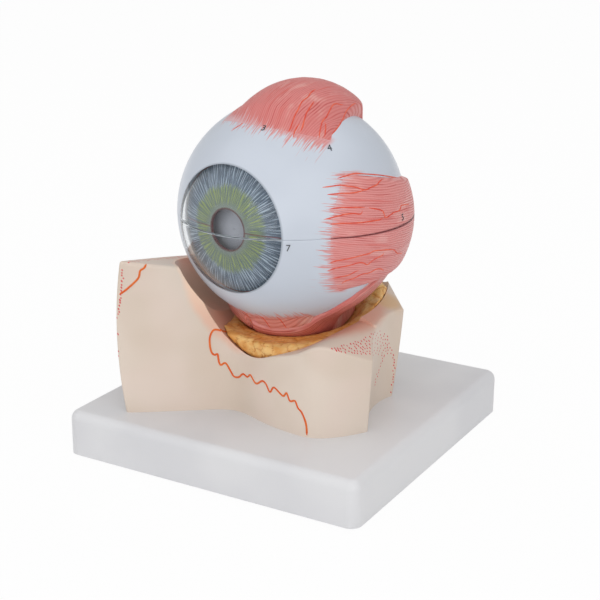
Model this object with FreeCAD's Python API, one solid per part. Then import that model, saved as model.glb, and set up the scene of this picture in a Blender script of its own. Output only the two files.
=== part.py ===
"""Teaching model of a left human eye, five times life size, bedded in part of its bony orbit.

Every length is in millimetres.  The origin is the middle of the stand's resting plane, +Z is up and
the eye looks towards -Y, turned a little towards the nose (-X).  The eye is a nest of shells that open
along one horizontal seam: sclera with cornea and muscles, choroid with retina and iris, then the clear
vitreous body with the lens in its front.
"""
import FreeCAD, Part
import math
import os

Vector = FreeCAD.Vector
Z_AXIS = Vector(0, 0, 1)

# ---------------------------------------------------------------- stand
STAND_WIDTH = 180.0            # square tray, outside
STAND_HEIGHT = 25.2
STAND_CORNER = 6.3            # radius of the upright corners
STAND_EDGE = 5.2              # rounding of the top edges
STAND_WALL = 3.2
RIB_THICKNESS = 2.4
RIB_SETBACK = 3.0             # the ribs end this far above the tray's rim
FOOT_RADIUS = 8.0
FOOT_STANDOFF = 1.0           # how far a pad lifts the tray's rim
FOOT_BOSS_RADIUS = 10.0
FOOT_RECESS = 1.2             # depth of a pad's seat in its boss
FOOT_PITCH = 144.0            # between the pads' centres, both ways
SCREW_RADIUS = 2.0
SCREW_HEAD_RADIUS = 4.0
SCREW_HEAD_HEIGHT = 2.6
SCREW_GRIP = 13.0             # length in the bone
SCREW_CLEARANCE = 0.25
SCREW_BOSS_RADIUS = 7.0
SCREW_BOSS_HEIGHT = 4.0
SCREW_PLACES = [(-42.0, -44.0), (38.0, -34.0), (36.0, 18.0), (-34.0, 34.0)]

# ---------------------------------------------------------------- eyeball: place and main radii
EYE_SIDEWAYS = 2.6            # centre of the eyeball, towards the temple from the stand's middle
EYE_FORWARD = 5.5
EYE_HEIGHT = 133.9            # above the resting plane
EYE_CENTRE = Vector(EYE_SIDEWAYS, -EYE_FORWARD, EYE_HEIGHT)
EYE_TURN = -7.3               # degrees about Z, towards the nose
GLOBE_RADIUS = 61.0           # across the optical axis
FRONT_SWELL = 1.0             # how much deeper the front half is than that radius, cornea apart
REAR_SWELL = 3.5              # how much deeper the rear half is
GLOBE_FRONT = GLOBE_RADIUS + FRONT_SWELL
GLOBE_REAR = GLOBE_RADIUS + REAR_SWELL
SCLERA_WALL = 4.0
CHOROID_WALL = 2.6
RETINA_WALL = 1.2
SHELL_GAP = 0.4               # between one nested shell and the next

# ---------------------------------------------------------------- front of the eye
LIMBUS_RADIUS = 33.8          # edge of the cornea
CORNEA_CURVE = 50.7           # radius of its outer face
CORNEA_WALL = 2.5
# Places along the optical axis are measured from the limbus, where the cornea meets the sclera.
LIMBUS = GLOBE_FRONT * math.sqrt(1.0 - (LIMBUS_RADIUS / GLOBE_RADIUS) ** 2)
PUPIL_RADIUS = 10.7
IRIS_RIM_GAP = 0.6            # iris edge to cornea seat
IRIS_SEAT_DEPTH = 6.4         # the choroid's front rim, behind the limbus
IRIS_EDGE_DEPTH = 4.6         # front face of the iris at its rim
IRIS_MID_RADIUS = 22.0
IRIS_MID_DEPTH = 0.6
IRIS_CREST_RISE = 1.4         # front face at the pupil, forward of the limbus
IRIS_THICKNESS = 1.6
IRIS_SEAT = LIMBUS - IRIS_SEAT_DEPTH
IRIS_EDGE = LIMBUS - IRIS_EDGE_DEPTH
IRIS_MID = LIMBUS - IRIS_MID_DEPTH
IRIS_CREST = LIMBUS + IRIS_CREST_RISE
ORA_INSET = 15.0              # scalloped front edge of the retina, in from the globe's radius
ORA_RADIUS = GLOBE_RADIUS - ORA_INSET
CILIARY_INSET = 2.8           # inner tip of the ciliary ring, in from the limbus
CILIARY_TIP_RADIUS = LIMBUS_RADIUS - CILIARY_INSET
CILIARY_TIP_DEPTH = 12.1
CILIARY_TIP = LIMBUS - CILIARY_TIP_DEPTH
CILIARY_ROOT_WIDTH = 1.6
FOLD_COUNT = 18               # ciliary folds in each half ring
FOLD_REACH = 3.6              # how far a fold stands in towards the lens
FOLD_THICKNESS = 1.6
FOLD_FRONT_DEPTH = 8.2
FOLD_REAR_DEPTH = 13.4
FOLD_FRONT = LIMBUS - FOLD_FRONT_DEPTH
FOLD_REAR = LIMBUS - FOLD_REAR_DEPTH

# ---------------------------------------------------------------- lens and vitreous body
ZONULE_SPAN = 3.4             # from the folds' crests to the lens
LENS_RADIUS = CILIARY_TIP_RADIUS - FOLD_REACH - ZONULE_SPAN
LENS_FRONT_CURVE = 50.0
LENS_REAR_CURVE = 30.0
LENS_BAND = 2.0               # straight rim between the two faces
LENS_APEX_DEPTH = 3.6         # front of the lens, behind the limbus
LENS_APEX = LIMBUS - LENS_APEX_DEPTH
LENS_GAP = 0.4
VITREOUS_FACE_DEPTH = 14.6
VITREOUS_FACE = LIMBUS - VITREOUS_FACE_DEPTH
VITREOUS_FACE_SPREAD = 2.0    # how much wider its flat face is than the ciliary ring's tip
VITREOUS_FACE_RADIUS = CILIARY_TIP_RADIUS + VITREOUS_FACE_SPREAD
VITREOUS_SETBACK = 0.8        # its shoulder lies this far behind the retina's front edge

# ---------------------------------------------------------------- muscles
MUSCLE_CORNER = 11.0          # rounding of the two rear corners, seen square on
MUSCLE_EDGE = 2.4             # softening of the sides and the cut rear end
# The outer face of a straight muscle is turned about a crossways axis that stands "rise" out from the
# eye's centre and "back" behind it.  "girth" is its radius along the muscle, "crown" across it.
# Outlines are (sideways, forward): front corner, front middle, front corner, rear corner, rear corner.
UPPER_MUSCLE = {"rise": 10.7, "back": 6.1, "girth": GLOBE_RADIUS - 1.4, "crown": 33.2, "middle": 2.1,
                "outline": [(-25.0, 26.0), (5.0, 33.0), (30.0, 19.0), (24.0, -38.0), (-23.0, -38.0)]}
LOWER_MUSCLE = {"rise": 28.3, "back": 7.3, "girth": GLOBE_RADIUS - 13.8, "crown": 46.4, "middle": -1.9,
                "outline": [(-28.0, 26.0), (0.0, 33.5), (30.0, 22.0), (24.0, -36.0), (-25.0, -36.0)]}
SIDE_MUSCLE = {"rise": 10.0, "back": 4.5, "girth": GLOBE_RADIUS - 4.9, "crown": 52.0, "middle": 0.0,
               "outline": [(-31.0, 24.0), (-3.0, 34.0), (30.0, 17.0), (23.0, -41.0), (-27.5, -41.0)]}
SIDE_MUSCLE_TILT = 7.0        # degrees that the side muscles drop towards their rear ends
SIDE_MUSCLE_DROP = 5.0        # degrees that they sit below the seam's level
# The lower oblique crosses under the lower rectus in a slanting band, sunk into its underside.
CROSSING_NORMAL = Vector(0.295, -0.903, 0.314)   # square to the band, towards its front edge
CROSSING_FRONT = 6.5          # its front edge, from the eye's centre along that normal
CROSSING_WIDTH = 25.0
CROSSING_DEPTH = 5.5          # how deep it is sunk into the rectus
CROSSING_START = -9.0         # sideways place of its cut end on the nose side
# The oblique muscles are belts over the globe through two directions, each kept inside a box.
OBLIQUE_THICKNESS = 5.4
OBLIQUE_RADIUS = GLOBE_RADIUS + OBLIQUE_THICKNESS
OBLIQUE_HALF_WIDTH = 17.0
OBLIQUE_COURSE = (Vector(14, -12, -58), Vector(50, 26, -22))
OBLIQUE_BOX = (Vector(12, -16, -2 * OBLIQUE_RADIUS), Vector(2 * OBLIQUE_RADIUS, 62, -22))
TENDON_THICKNESS = 2.4
TENDON_RADIUS = GLOBE_RADIUS + TENDON_THICKNESS
TENDON_HALF_WIDTH = 9.0
TENDON_COURSE = (Vector(-44, 8, 42), Vector(-14, 28, 53))
TENDON_BOX = (Vector(-50, -4, 30), Vector(-16, 44, 2 * TENDON_RADIUS))

# ---------------------------------------------------------------- optic nerve
NERVE_RADIUS = 8.0
SHEATH_WALL = 2.4
NERVE_LEAN = 14.0             # degrees towards the nose from the optical axis
SHEATH_LENGTH = 84.0          # from the eye's centre to the cut end of the sheath
NERVE_PROUD = 2.5             # the nerve's own fibres end a little further out

# ---------------------------------------------------------------- locating dowels and peg
SCLERA_DOWEL_RADIUS = 1.1
CHOROID_DOWEL_RADIUS = 0.8
DOWEL_REACH = 4.0             # each way from the seam
DOWEL_CLEARANCE = 0.05
DOWEL_ANGLES = (-118.0, -75.0, 75.0, 118.0)   # round the seam, from the pupil
PEG_RADIUS = 5.0
PEG_CLEARANCE = 0.05
PEG_BITE = 1.6                # how far the peg reaches into the sclera
PEG_HEADROOM = 0.5            # from its top to the roof of its socket
PEG_FLOOR = 12.7              # bone left under its root
PEG_TOP = GLOBE_RADIUS - PEG_BITE              # below the eye's centre
PEG_SOCKET_ROOF = PEG_TOP - PEG_HEADROOM
PEG_ROOT = EYE_HEIGHT - FOOT_STANDOFF - STAND_HEIGHT - PEG_FLOOR

# ---------------------------------------------------------------- bone and fat
BONE_NASAL_FRONT = (-61.1, -76.2)
BONE_FRONT = [(-49.5, -68.3), (-27.6, -52.0), (-10.7, -42.7), (8.6, -47.9), (30.6, -53.2),
              (42.5, -53.4), (55.7, -44.2)]
BONE_TEMPLE_FRONT = (65.1, -30.6)
BONE_TEMPLE_SIDE = [(56.5, -14.0), (51.8, 7.6)]
BONE_TEMPLE_REAR = (54.0, 20.8)
BONE_BACK = [(31.0, 51.5), (8.0, 70.0)]
BONE_APEX_TEMPLE = (-8.0, 77.0)
BONE_APEX_NASAL = (-28.0, 77.0)
BONE_NASAL_SIDE = [(-52.0, 40.0), (-62.0, -20.0)]
BONE_WAIST = 71.0             # height of the middle section
BONE_CROWN = 113.0            # height of the top section
NASAL_BULGE = 4.6             # at the waist
NASAL_LEAN = 0.8              # at the crown
TEMPLE_BULGE = 2.6
TEMPLE_LEAN = 5.0
TEMPLE_REAR_LEAN = 7.0        # backward lean of the rear temple corner at the waist
BONE_SOFTENING = 1.6          # rounding of the bone's outer edges
# the front rim seen square on: (sideways, height above the stand's resting plane)
RIM_FRONT = [(-34.0, 111.0), (-29.5, 96.0), (-23.5, 84.0), (-15.0, 69.7), (-6.0, 62.6), (4.0, 61.6),
             (19.5, 66.5), (35.0, 72.0), (48.0, 77.5)]
RIM_TEMPLE = [(57.0, 74.0), (66.0, 67.5), (90.0, 55.0)]
RIM_BACK = [(-80.0, 120.0), (-20.0, 103.0), (34.0, 85.0), (57.0, 76.0), (90.0, 66.0)]
NASAL_TOP = 111.0
NASAL_TOP_FALL = 12.0         # degrees that the nasal top slopes down to the back
SOCKET_SIDEWAYS = 6.0
SOCKET_DROP = 4.9             # its centre lies this far below the eye's
SOCKET_CENTRE = Vector(SOCKET_SIDEWAYS, 0.0, EYE_HEIGHT - SOCKET_DROP)
SOCKET_HALF_WIDTH = 51.2
SOCKET_DEPTH = 81.8
SOCKET_LIMIT = 84.5           # largest distance from the eye's centre
SIDE_GAP = 3.2                # side muscles to bone
EYE_ROOM = SIDE_MUSCLE["rise"] + SIDE_MUSCLE["girth"] + SIDE_GAP
FAT_GAP = 0.6                 # eyeball to fat
FAT_INSET = 1.6               # fat stands back from the bone's front face
FAT_TILT = 11.0               # degrees that the fat's ring rises to the back
# the fat's rolled top before it is tilted: (radius, depth below the eye's centre)
FAT_INNER_EDGE = (39.5, 58.3)
FAT_CREST = (45.5, 55.7)
FAT_OUTER_EDGE = (58.0, 64.9)
FAT_LOBES = 17
FAT_LOBE_RADIUS = 6.2
FAT_LOBE_RING = 47.5
FAT_LOBE_DEPTH = 59.7


# ================================================================ helpers
def polyline(points):
    """Straight edges through a list of vectors."""
    return [Part.LineSegment(a, b).toShape() for a, b in zip(points, points[1:])]


def spline(points):
    """One smooth edge through a list of vectors."""
    curve = Part.BSplineCurve()
    curve.interpolate(points)
    return curve.toShape()


def arc(first, middle, last):
    return Part.Arc(first, middle, last).toShape()


def face_of(edges):
    return Part.Face(Part.Wire(Part.__sortEdges__(edges)))


def at(sideways, forward):
    """A point of the eye's own level plane: sideways is +X, forward is along the gaze."""
    return Vector(sideways, -forward, 0)


def meridian(radius, pole, far_end, rear=False, near_end=0.0):
    """Outline of an ellipsoid of revolution between two distances from its equator's plane."""
    side = 1.0 if rear else -1.0
    ellipse = Part.Ellipse(Vector(0, side * pole, 0), Vector(radius, 0, 0), Vector(0, 0, 0))
    start = math.acos(min(1.0, abs(far_end) / pole))
    return ellipse.toShape(start, math.acos(near_end / pole))


def radius_at(radius, pole, forward):
    """Radius of that ellipsoid at a place along the optical axis."""
    return radius * math.sqrt(1.0 - (forward / pole) ** 2)


def forward_at(radius, pole, ring):
    """Place along the optical axis where that ellipsoid has a given radius."""
    return pole * math.sqrt(1.0 - (ring / radius) ** 2)


def half_turn(profile, upper):
    """Sweep a profile that lies at +X through half a turn about the optical axis."""
    axis = Vector(0, -1, 0) if upper else Vector(0, 1, 0)
    return profile.revolve(Vector(0, 0, 0), axis, 180)


def full_turn(profile):
    return profile.revolve(Vector(0, 0, 0), Vector(0, 1, 0), 360)


def clean(shape):
    """The one solid in a boolean's result, without needless seams."""
    tidy = shape.removeSplitter()
    return max(tidy.Solids, key=lambda solid: solid.Volume)


def into_place(shape):
    """Move a piece from the eye's own frame to its place over the stand."""
    placed = shape.copy()
    placed.rotate(Vector(0, 0, 0), Z_AXIS, EYE_TURN)
    placed.translate(EYE_CENTRE)
    return placed


def globe(inset):
    """The whole globe, shrunk by an inset from the outside of the sclera (negative grows it)."""
    radius = GLOBE_RADIUS - inset
    front = GLOBE_FRONT - inset
    rear = GLOBE_REAR - inset
    edges = [meridian(radius, front, front), meridian(radius, rear, rear, rear=True)]
    edges += polyline([at(0, front), at(0, -rear)])
    return full_turn(face_of(edges))


def half_space(upper):
    """A block that holds everything above, or below, the seam."""
    size = 4 * GLOBE_RADIUS
    block = Part.makeBox(size, size, size, Vector(-size / 2, -size / 2, 0 if upper else -size))
    return block


# ================================================================ shells of the eye
SCLERA_INNER = SCLERA_WALL
CHOROID_OUTER = SCLERA_WALL + SHELL_GAP
CHOROID_INNER = CHOROID_OUTER + CHOROID_WALL
RETINA_INNER = CHOROID_INNER + RETINA_WALL
VITREOUS_OUTER = RETINA_INNER + SHELL_GAP


def shell_profile(outer_inset, inner_inset, front_out, front_in):
    """Outline of a shell wall; front_out and front_in are its (radius, forward) front corners."""
    outer, outer_front, outer_rear = [v - outer_inset for v in (GLOBE_RADIUS, GLOBE_FRONT, GLOBE_REAR)]
    inner, inner_front, inner_rear = [v - inner_inset for v in (GLOBE_RADIUS, GLOBE_FRONT, GLOBE_REAR)]
    edges = [meridian(outer, outer_front, front_out[1]),
             meridian(outer, outer_rear, outer_rear, rear=True),
             meridian(inner, inner_front, front_in[1]),
             meridian(inner, inner_rear, inner_rear, rear=True)]
    edges += polyline([at(0, -outer_rear), at(0, -inner_rear)])
    edges += polyline([at(*front_out), at(*front_in)])
    return face_of(edges)


def dowel_places(inset):
    """Centres of the dowels round the seam, on the middle surface of a wall."""
    places = []
    for angle in DOWEL_ANGLES:
        turn = math.radians(angle)
        pole = GLOBE_FRONT if math.cos(turn) > 0 else GLOBE_REAR
        places.append(at((GLOBE_RADIUS - inset) * math.sin(turn), (pole - inset) * math.cos(turn)))
    return places


def dowels(inset, radius, reach):
    """Short upright pins across the seam."""
    pins = []
    for place in dowel_places(inset):
        foot = place - Z_AXIS * reach
        pins.append(Part.makeCylinder(radius, 2 * reach, foot, Z_AXIS))
    return Part.makeCompound(pins)


def sclera_half(upper):
    front_out = (LIMBUS_RADIUS, LIMBUS)
    inner_radius = GLOBE_RADIUS - SCLERA_INNER
    inner_pole = GLOBE_FRONT - SCLERA_INNER
    front_in = (LIMBUS_RADIUS, forward_at(inner_radius, inner_pole, LIMBUS_RADIUS))
    half = half_turn(shell_profile(0.0, SCLERA_INNER, front_out, front_in), upper)
    spare = DOWEL_CLEARANCE if upper else 0.0
    half = half.cut(dowels(SCLERA_WALL / 2, SCLERA_DOWEL_RADIUS + spare, DOWEL_REACH + spare))
    if not upper:
        half = half.cut(peg_socket())
    return clean(half)


def cornea_half(upper):
    """Clear dome that stands in the sclera's round window."""
    centre = LIMBUS - math.sqrt(CORNEA_CURVE ** 2 - LIMBUS_RADIUS ** 2)
    inner = CORNEA_CURVE - CORNEA_WALL
    inner_edge = centre + math.sqrt(inner ** 2 - LIMBUS_RADIUS ** 2)
    lean = math.asin(LIMBUS_RADIUS / CORNEA_CURVE) / 2
    outer_mid = at(CORNEA_CURVE * math.sin(lean), centre + CORNEA_CURVE * math.cos(lean))
    inner_mid = at(inner * math.sin(lean), centre + inner * math.cos(lean))
    edges = [arc(at(LIMBUS_RADIUS, LIMBUS), outer_mid, at(0, centre + CORNEA_CURVE)),
             arc(at(LIMBUS_RADIUS, inner_edge), inner_mid, at(0, centre + inner))]
    edges += polyline([at(0, centre + CORNEA_CURVE), at(0, centre + inner)])
    edges += polyline([at(LIMBUS_RADIUS, LIMBUS), at(LIMBUS_RADIUS, inner_edge)])
    return clean(half_turn(face_of(edges), upper))


def choroid_half(upper):
    outer_ring = radius_at(GLOBE_RADIUS - CHOROID_OUTER, GLOBE_FRONT - CHOROID_OUTER, IRIS_SEAT)
    inner_ring = radius_at(GLOBE_RADIUS - CHOROID_INNER, GLOBE_FRONT - CHOROID_INNER, IRIS_SEAT)
    profile = shell_profile(CHOROID_OUTER, CHOROID_INNER, (outer_ring, IRIS_SEAT), (inner_ring, IRIS_SEAT))
    spare = DOWEL_CLEARANCE if upper else 0.0
    pins = dowels(CHOROID_OUTER + CHOROID_WALL / 2, CHOROID_DOWEL_RADIUS + spare, DOWEL_REACH + spare)
    return clean(half_turn(profile, upper).cut(pins))


def retina_half(upper):
    """Thin lining of the choroid that ends at the ora serrata."""
    outer, outer_pole = GLOBE_RADIUS - CHOROID_INNER, GLOBE_FRONT - CHOROID_INNER
    inner, inner_pole = GLOBE_RADIUS - RETINA_INNER, GLOBE_FRONT - RETINA_INNER
    front_out = (ORA_RADIUS, forward_at(outer, outer_pole, ORA_RADIUS))
    inner_ring = ORA_RADIUS - RETINA_WALL
    front_in = (inner_ring, forward_at(inner, inner_pole, inner_ring))
    profile = shell_profile(CHOROID_INNER, RETINA_INNER, front_out, front_in)
    return clean(half_turn(profile, upper))


def ciliary_half(upper):
    """Wedge ring between ora and iris root, with its crown of folds."""
    wall, wall_pole = GLOBE_RADIUS - CHOROID_INNER, GLOBE_FRONT - CHOROID_INNER
    ora = forward_at(wall, wall_pole, ORA_RADIUS)
    root = radius_at(wall, wall_pole, IRIS_SEAT)
    back = meridian(wall, wall_pole, IRIS_SEAT, near_end=ora)
    tip = at(CILIARY_TIP_RADIUS, CILIARY_TIP)
    inner_root = at(root - CILIARY_ROOT_WIDTH, IRIS_SEAT)
    edges = [back] + polyline([at(root, IRIS_SEAT), inner_root, tip, at(ORA_RADIUS, ora)])
    ring = half_turn(face_of(edges), upper)
    crest = CILIARY_TIP_RADIUS - FOLD_REACH
    fin = Part.Face(Part.makePolygon([at(CILIARY_TIP_RADIUS + FOLD_REACH, FOLD_REAR),
                                      at(crest + FOLD_THICKNESS, FOLD_REAR),
                                      at(crest, (FOLD_REAR + FOLD_FRONT) / 2),
                                      at(crest + FOLD_THICKNESS, FOLD_FRONT),
                                      at(CILIARY_TIP_RADIUS, FOLD_FRONT),
                                      at(CILIARY_TIP_RADIUS + FOLD_REACH, FOLD_REAR)]))
    fold = fin.extrude(Z_AXIS * FOLD_THICKNESS)
    fold.translate(Z_AXIS * (-FOLD_THICKNESS / 2))
    step = 180.0 / FOLD_COUNT
    turn = -1.0 if upper else 1.0
    folds = []
    for index in range(FOLD_COUNT):
        copy = fold.copy()
        copy.rotate(Vector(0, 0, 0), Vector(0, 1, 0), turn * step * (index + 0.5))
        folds.append(copy)
    return clean(ring.fuse(folds))


def iris_half(upper):
    """Domed diaphragm on the choroid's front rim, with the half-round notch of the pupil."""
    rim = LIMBUS_RADIUS - IRIS_RIM_GAP
    front = arc(at(rim, IRIS_EDGE), at(IRIS_MID_RADIUS, IRIS_MID), at(PUPIL_RADIUS, IRIS_CREST))
    seat = radius_at(GLOBE_RADIUS - CHOROID_INNER, GLOBE_FRONT - CHOROID_INNER, IRIS_SEAT)
    back = arc(at(seat, IRIS_SEAT), at(IRIS_MID_RADIUS, IRIS_MID - IRIS_THICKNESS),
               at(PUPIL_RADIUS, IRIS_CREST - IRIS_THICKNESS))
    edges = [front, back]
    edges += polyline([at(PUPIL_RADIUS, IRIS_CREST), at(PUPIL_RADIUS, IRIS_CREST - IRIS_THICKNESS)])
    edges += polyline([at(rim, IRIS_EDGE), at(rim, IRIS_SEAT), at(seat, IRIS_SEAT)])
    return clean(half_turn(face_of(edges), upper))


def lens_rear_centre():
    """Forward place of the centre of the lens's rear curve."""
    front_sag = LENS_FRONT_CURVE - math.sqrt(LENS_FRONT_CURVE ** 2 - LENS_RADIUS ** 2)
    rear_rim = LENS_APEX - front_sag - LENS_BAND
    return rear_rim + math.sqrt(LENS_REAR_CURVE ** 2 - LENS_RADIUS ** 2)


def lens():
    """Biconvex lens, flatter in front than behind."""
    front_centre = LENS_APEX - LENS_FRONT_CURVE
    rear_centre = lens_rear_centre()
    front_rim = front_centre + math.sqrt(LENS_FRONT_CURVE ** 2 - LENS_RADIUS ** 2)
    rear_rim = front_rim - LENS_BAND
    half = LENS_RADIUS / 2
    front_mid = at(half, front_centre + math.sqrt(LENS_FRONT_CURVE ** 2 - half ** 2))
    rear_mid = at(half, rear_centre - math.sqrt(LENS_REAR_CURVE ** 2 - half ** 2))
    bulge = at(LENS_RADIUS + LENS_BAND / 2, (front_rim + rear_rim) / 2)
    edges = [arc(at(0, LENS_APEX), front_mid, at(LENS_RADIUS, front_rim)),
             arc(at(LENS_RADIUS, front_rim), bulge, at(LENS_RADIUS, rear_rim)),
             arc(at(0, rear_centre - LENS_REAR_CURVE), rear_mid, at(LENS_RADIUS, rear_rim))]
    edges += polyline([at(0, LENS_APEX), at(0, rear_centre - LENS_REAR_CURVE)])
    return clean(full_turn(face_of(edges)))


def vitreous_body():
    """Clear body that fills the retina, with a flat front and the dish that the lens lies in."""
    radius = GLOBE_RADIUS - VITREOUS_OUTER
    front = GLOBE_FRONT - VITREOUS_OUTER
    rear = GLOBE_REAR - VITREOUS_OUTER
    ora = forward_at(GLOBE_RADIUS - CHOROID_INNER, GLOBE_FRONT - CHOROID_INNER, ORA_RADIUS)
    shoulder = ora - VITREOUS_SETBACK
    edges = [meridian(radius, front, shoulder), meridian(radius, rear, rear, rear=True)]
    edges += polyline([at(radius_at(radius, front, shoulder), shoulder),
                       at(VITREOUS_FACE_RADIUS, VITREOUS_FACE), at(0, VITREOUS_FACE), at(0, -rear)])
    body = full_turn(face_of(edges))
    dish = Part.makeSphere(LENS_REAR_CURVE + LENS_GAP, at(0, lens_rear_centre()))
    return clean(body.cut(dish))


# ================================================================ muscles and nerve
def muscle_prism(outline):
    """Upright prism over a muscle's outline: arched front edge, straight sides, rounded rear corners."""
    front_a, front_mid, front_b, rear_b, rear_a = [at(*point) for point in outline]
    edges = [arc(front_a, front_mid, front_b)] + polyline([front_b, rear_b, rear_a, front_a])
    prism = face_of(edges).extrude(Z_AXIS * 2 * GLOBE_RADIUS)
    rear_corners = [edge for edge in prism.Edges
                    if abs(edge.CenterOfMass.y - rear_a.y) < 0.01 and edge.BoundBox.XLength < 0.01]
    return prism.makeFillet(MUSCLE_CORNER, rear_corners)


def muscle_spindle(muscle, spare=0.0):
    """Round body whose upper part is the muscle's outer face; spare grows it evenly."""
    girth, crown = muscle["girth"] + spare, muscle["crown"] + spare
    hub = girth - crown
    half = math.sqrt(crown ** 2 - hub ** 2) if hub < 0 else crown
    ends = [Vector(-half, 0, 0), Vector(half, 0, 0)]
    if hub > 0:
        rim = [Vector(-half, 0, hub), Vector(half, 0, hub)]
        edges = [arc(rim[0], Vector(0, 0, girth), rim[1])] + polyline([rim[1], ends[1], ends[0], rim[0]])
    else:
        edges = [arc(ends[0], Vector(0, 0, girth), ends[1])] + polyline([ends[1], ends[0]])
    body = face_of(edges).revolve(Vector(0, 0, 0), Vector(1, 0, 0), 360)
    body.translate(Vector(muscle["middle"], muscle["back"], muscle["rise"]))
    return body


def muscle_slab(muscle):
    """Softened outer face and sides of a straight muscle, running down into the globe."""
    slab = muscle_spindle(muscle).common(muscle_prism(muscle["outline"]))
    outer = max(slab.Faces, key=lambda face: face.CenterOfMass.z)
    front = -muscle["outline"][0][1]
    soft = [edge for edge in outer.Edges if edge.CenterOfMass.y > front]
    return slab.makeFillet(MUSCLE_EDGE, soft)


def straight_muscle(muscle):
    """A rectus stump on top of the globe: thin where it is inserted, thick at its cut end."""
    return clean(muscle_slab(muscle).cut(globe(0.0)))


def side_muscle_half(nasal, upper):
    """One half of the temple-side or nose-side rectus, parted at the seam."""
    muscle = muscle_slab(SIDE_MUSCLE)
    muscle.rotate(Vector(0, 0, 0), Z_AXIS, -SIDE_MUSCLE_TILT)
    muscle.rotate(Vector(0, 0, 0), Vector(0, 1, 0), 90 + SIDE_MUSCLE_DROP)
    if nasal:
        muscle = muscle.mirror(Vector(0, 0, 0), Vector(1, 0, 0))
    return clean(muscle.cut(globe(0.0)).common(half_space(upper)))


def belt(radius, half_width, course, box):
    """Band over the globe along the great circle through two directions, kept inside a box."""
    normal = course[0].cross(course[1]).normalize()
    disc = Part.makeCylinder(2 * radius, 2 * half_width, normal * (-half_width), normal)
    size = box[1] - box[0]
    trim = Part.makeBox(size.x, size.y, size.z, box[0])
    return Part.makeSphere(radius).common(disc).common(trim).cut(globe(0.0))


def oblique_crossing(lower_slab):
    """Outer layer of the lower rectus that belongs to the oblique: a slanting band across it."""
    normal = Vector(CROSSING_NORMAL).normalize()
    reach = 2 * GLOBE_RADIUS
    band = Part.makeCylinder(reach, CROSSING_WIDTH, normal * (CROSSING_FRONT - CROSSING_WIDTH), normal)
    band = band.common(Part.makeBox(reach, 2 * reach, reach, Vector(CROSSING_START, -reach, -reach)))
    core = muscle_spindle(LOWER_MUSCLE, -CROSSING_DEPTH).mirror(Vector(0, 0, 0), Z_AXIS)
    return lower_slab.common(band).cut(core)


def inferior_rectus():
    """Lower rectus stump, with the oblique's bed across its underside and the peg's socket."""
    slab = straight_muscle(LOWER_MUSCLE).mirror(Vector(0, 0, 0), Z_AXIS)
    return clean(slab.cut(oblique_crossing(slab)).cut(peg_socket()))


def inferior_oblique(lateral_lower):
    """Band that crosses under the lower rectus and climbs back to the temple side."""
    slab = straight_muscle(LOWER_MUSCLE).mirror(Vector(0, 0, 0), Z_AXIS)
    band = belt(OBLIQUE_RADIUS, OBLIQUE_HALF_WIDTH, OBLIQUE_COURSE, OBLIQUE_BOX).cut(slab)
    band = band.fuse(oblique_crossing(slab))
    return clean(band.cut(lateral_lower).cut(peg_socket()))


def superior_oblique(superior_rectus):
    """Flat tendon that comes out on the nose side of the upper rectus."""
    band = belt(TENDON_RADIUS, TENDON_HALF_WIDTH, TENDON_COURSE, TENDON_BOX)
    return clean(band.cut(superior_rectus))


def nerve_direction():
    lean = math.radians(NERVE_LEAN)
    return Vector(-math.sin(lean), math.cos(lean), 0)


def optic_nerve_half(upper):
    core = Part.makeCylinder(NERVE_RADIUS, SHEATH_LENGTH + NERVE_PROUD, Vector(0, 0, 0), nerve_direction())
    return clean(core.cut(globe(0.0)).common(half_space(upper)))


def optic_sheath_half(upper):
    outer = Part.makeCylinder(NERVE_RADIUS + SHEATH_WALL, SHEATH_LENGTH, Vector(0, 0, 0), nerve_direction())
    core = Part.makeCylinder(NERVE_RADIUS, SHEATH_LENGTH, Vector(0, 0, 0), nerve_direction())
    return clean(outer.cut(core).cut(globe(0.0)).common(half_space(upper)))


def peg_socket():
    """Blind hole for the locating peg, up through the lower rectus into the sclera."""
    return Part.makeCylinder(PEG_RADIUS + PEG_CLEARANCE, PEG_ROOT, Vector(0, 0, -PEG_SOCKET_ROOF - PEG_ROOT))


def eyeball_peg():
    length = PEG_ROOT - PEG_TOP
    peg = Part.makeCylinder(PEG_RADIUS, length, Vector(0, 0, -PEG_ROOT))
    rim = [edge for edge in peg.Edges if abs(edge.CenterOfMass.z + PEG_TOP) < 0.01 and len(edge.Vertexes) == 1]
    return peg.makeFillet(PEG_RADIUS / 3, rim)


# ================================================================ stand
TRAY_FLOOR = FOOT_STANDOFF
TRAY_TOP = FOOT_STANDOFF + STAND_HEIGHT


def rounded_block(side, height, corner, foot):
    block = Part.makeBox(side, side, height, Vector(-side / 2, -side / 2, foot))
    upright = [edge for edge in block.Edges if abs(edge.CenterOfMass.z - foot - height / 2) < 0.01]
    return block.makeFillet(corner, upright)


def foot_places():
    reach = FOOT_PITCH / 2
    return [Vector(x, y, 0) for x in (-reach, reach) for y in (-reach, reach)]


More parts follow.
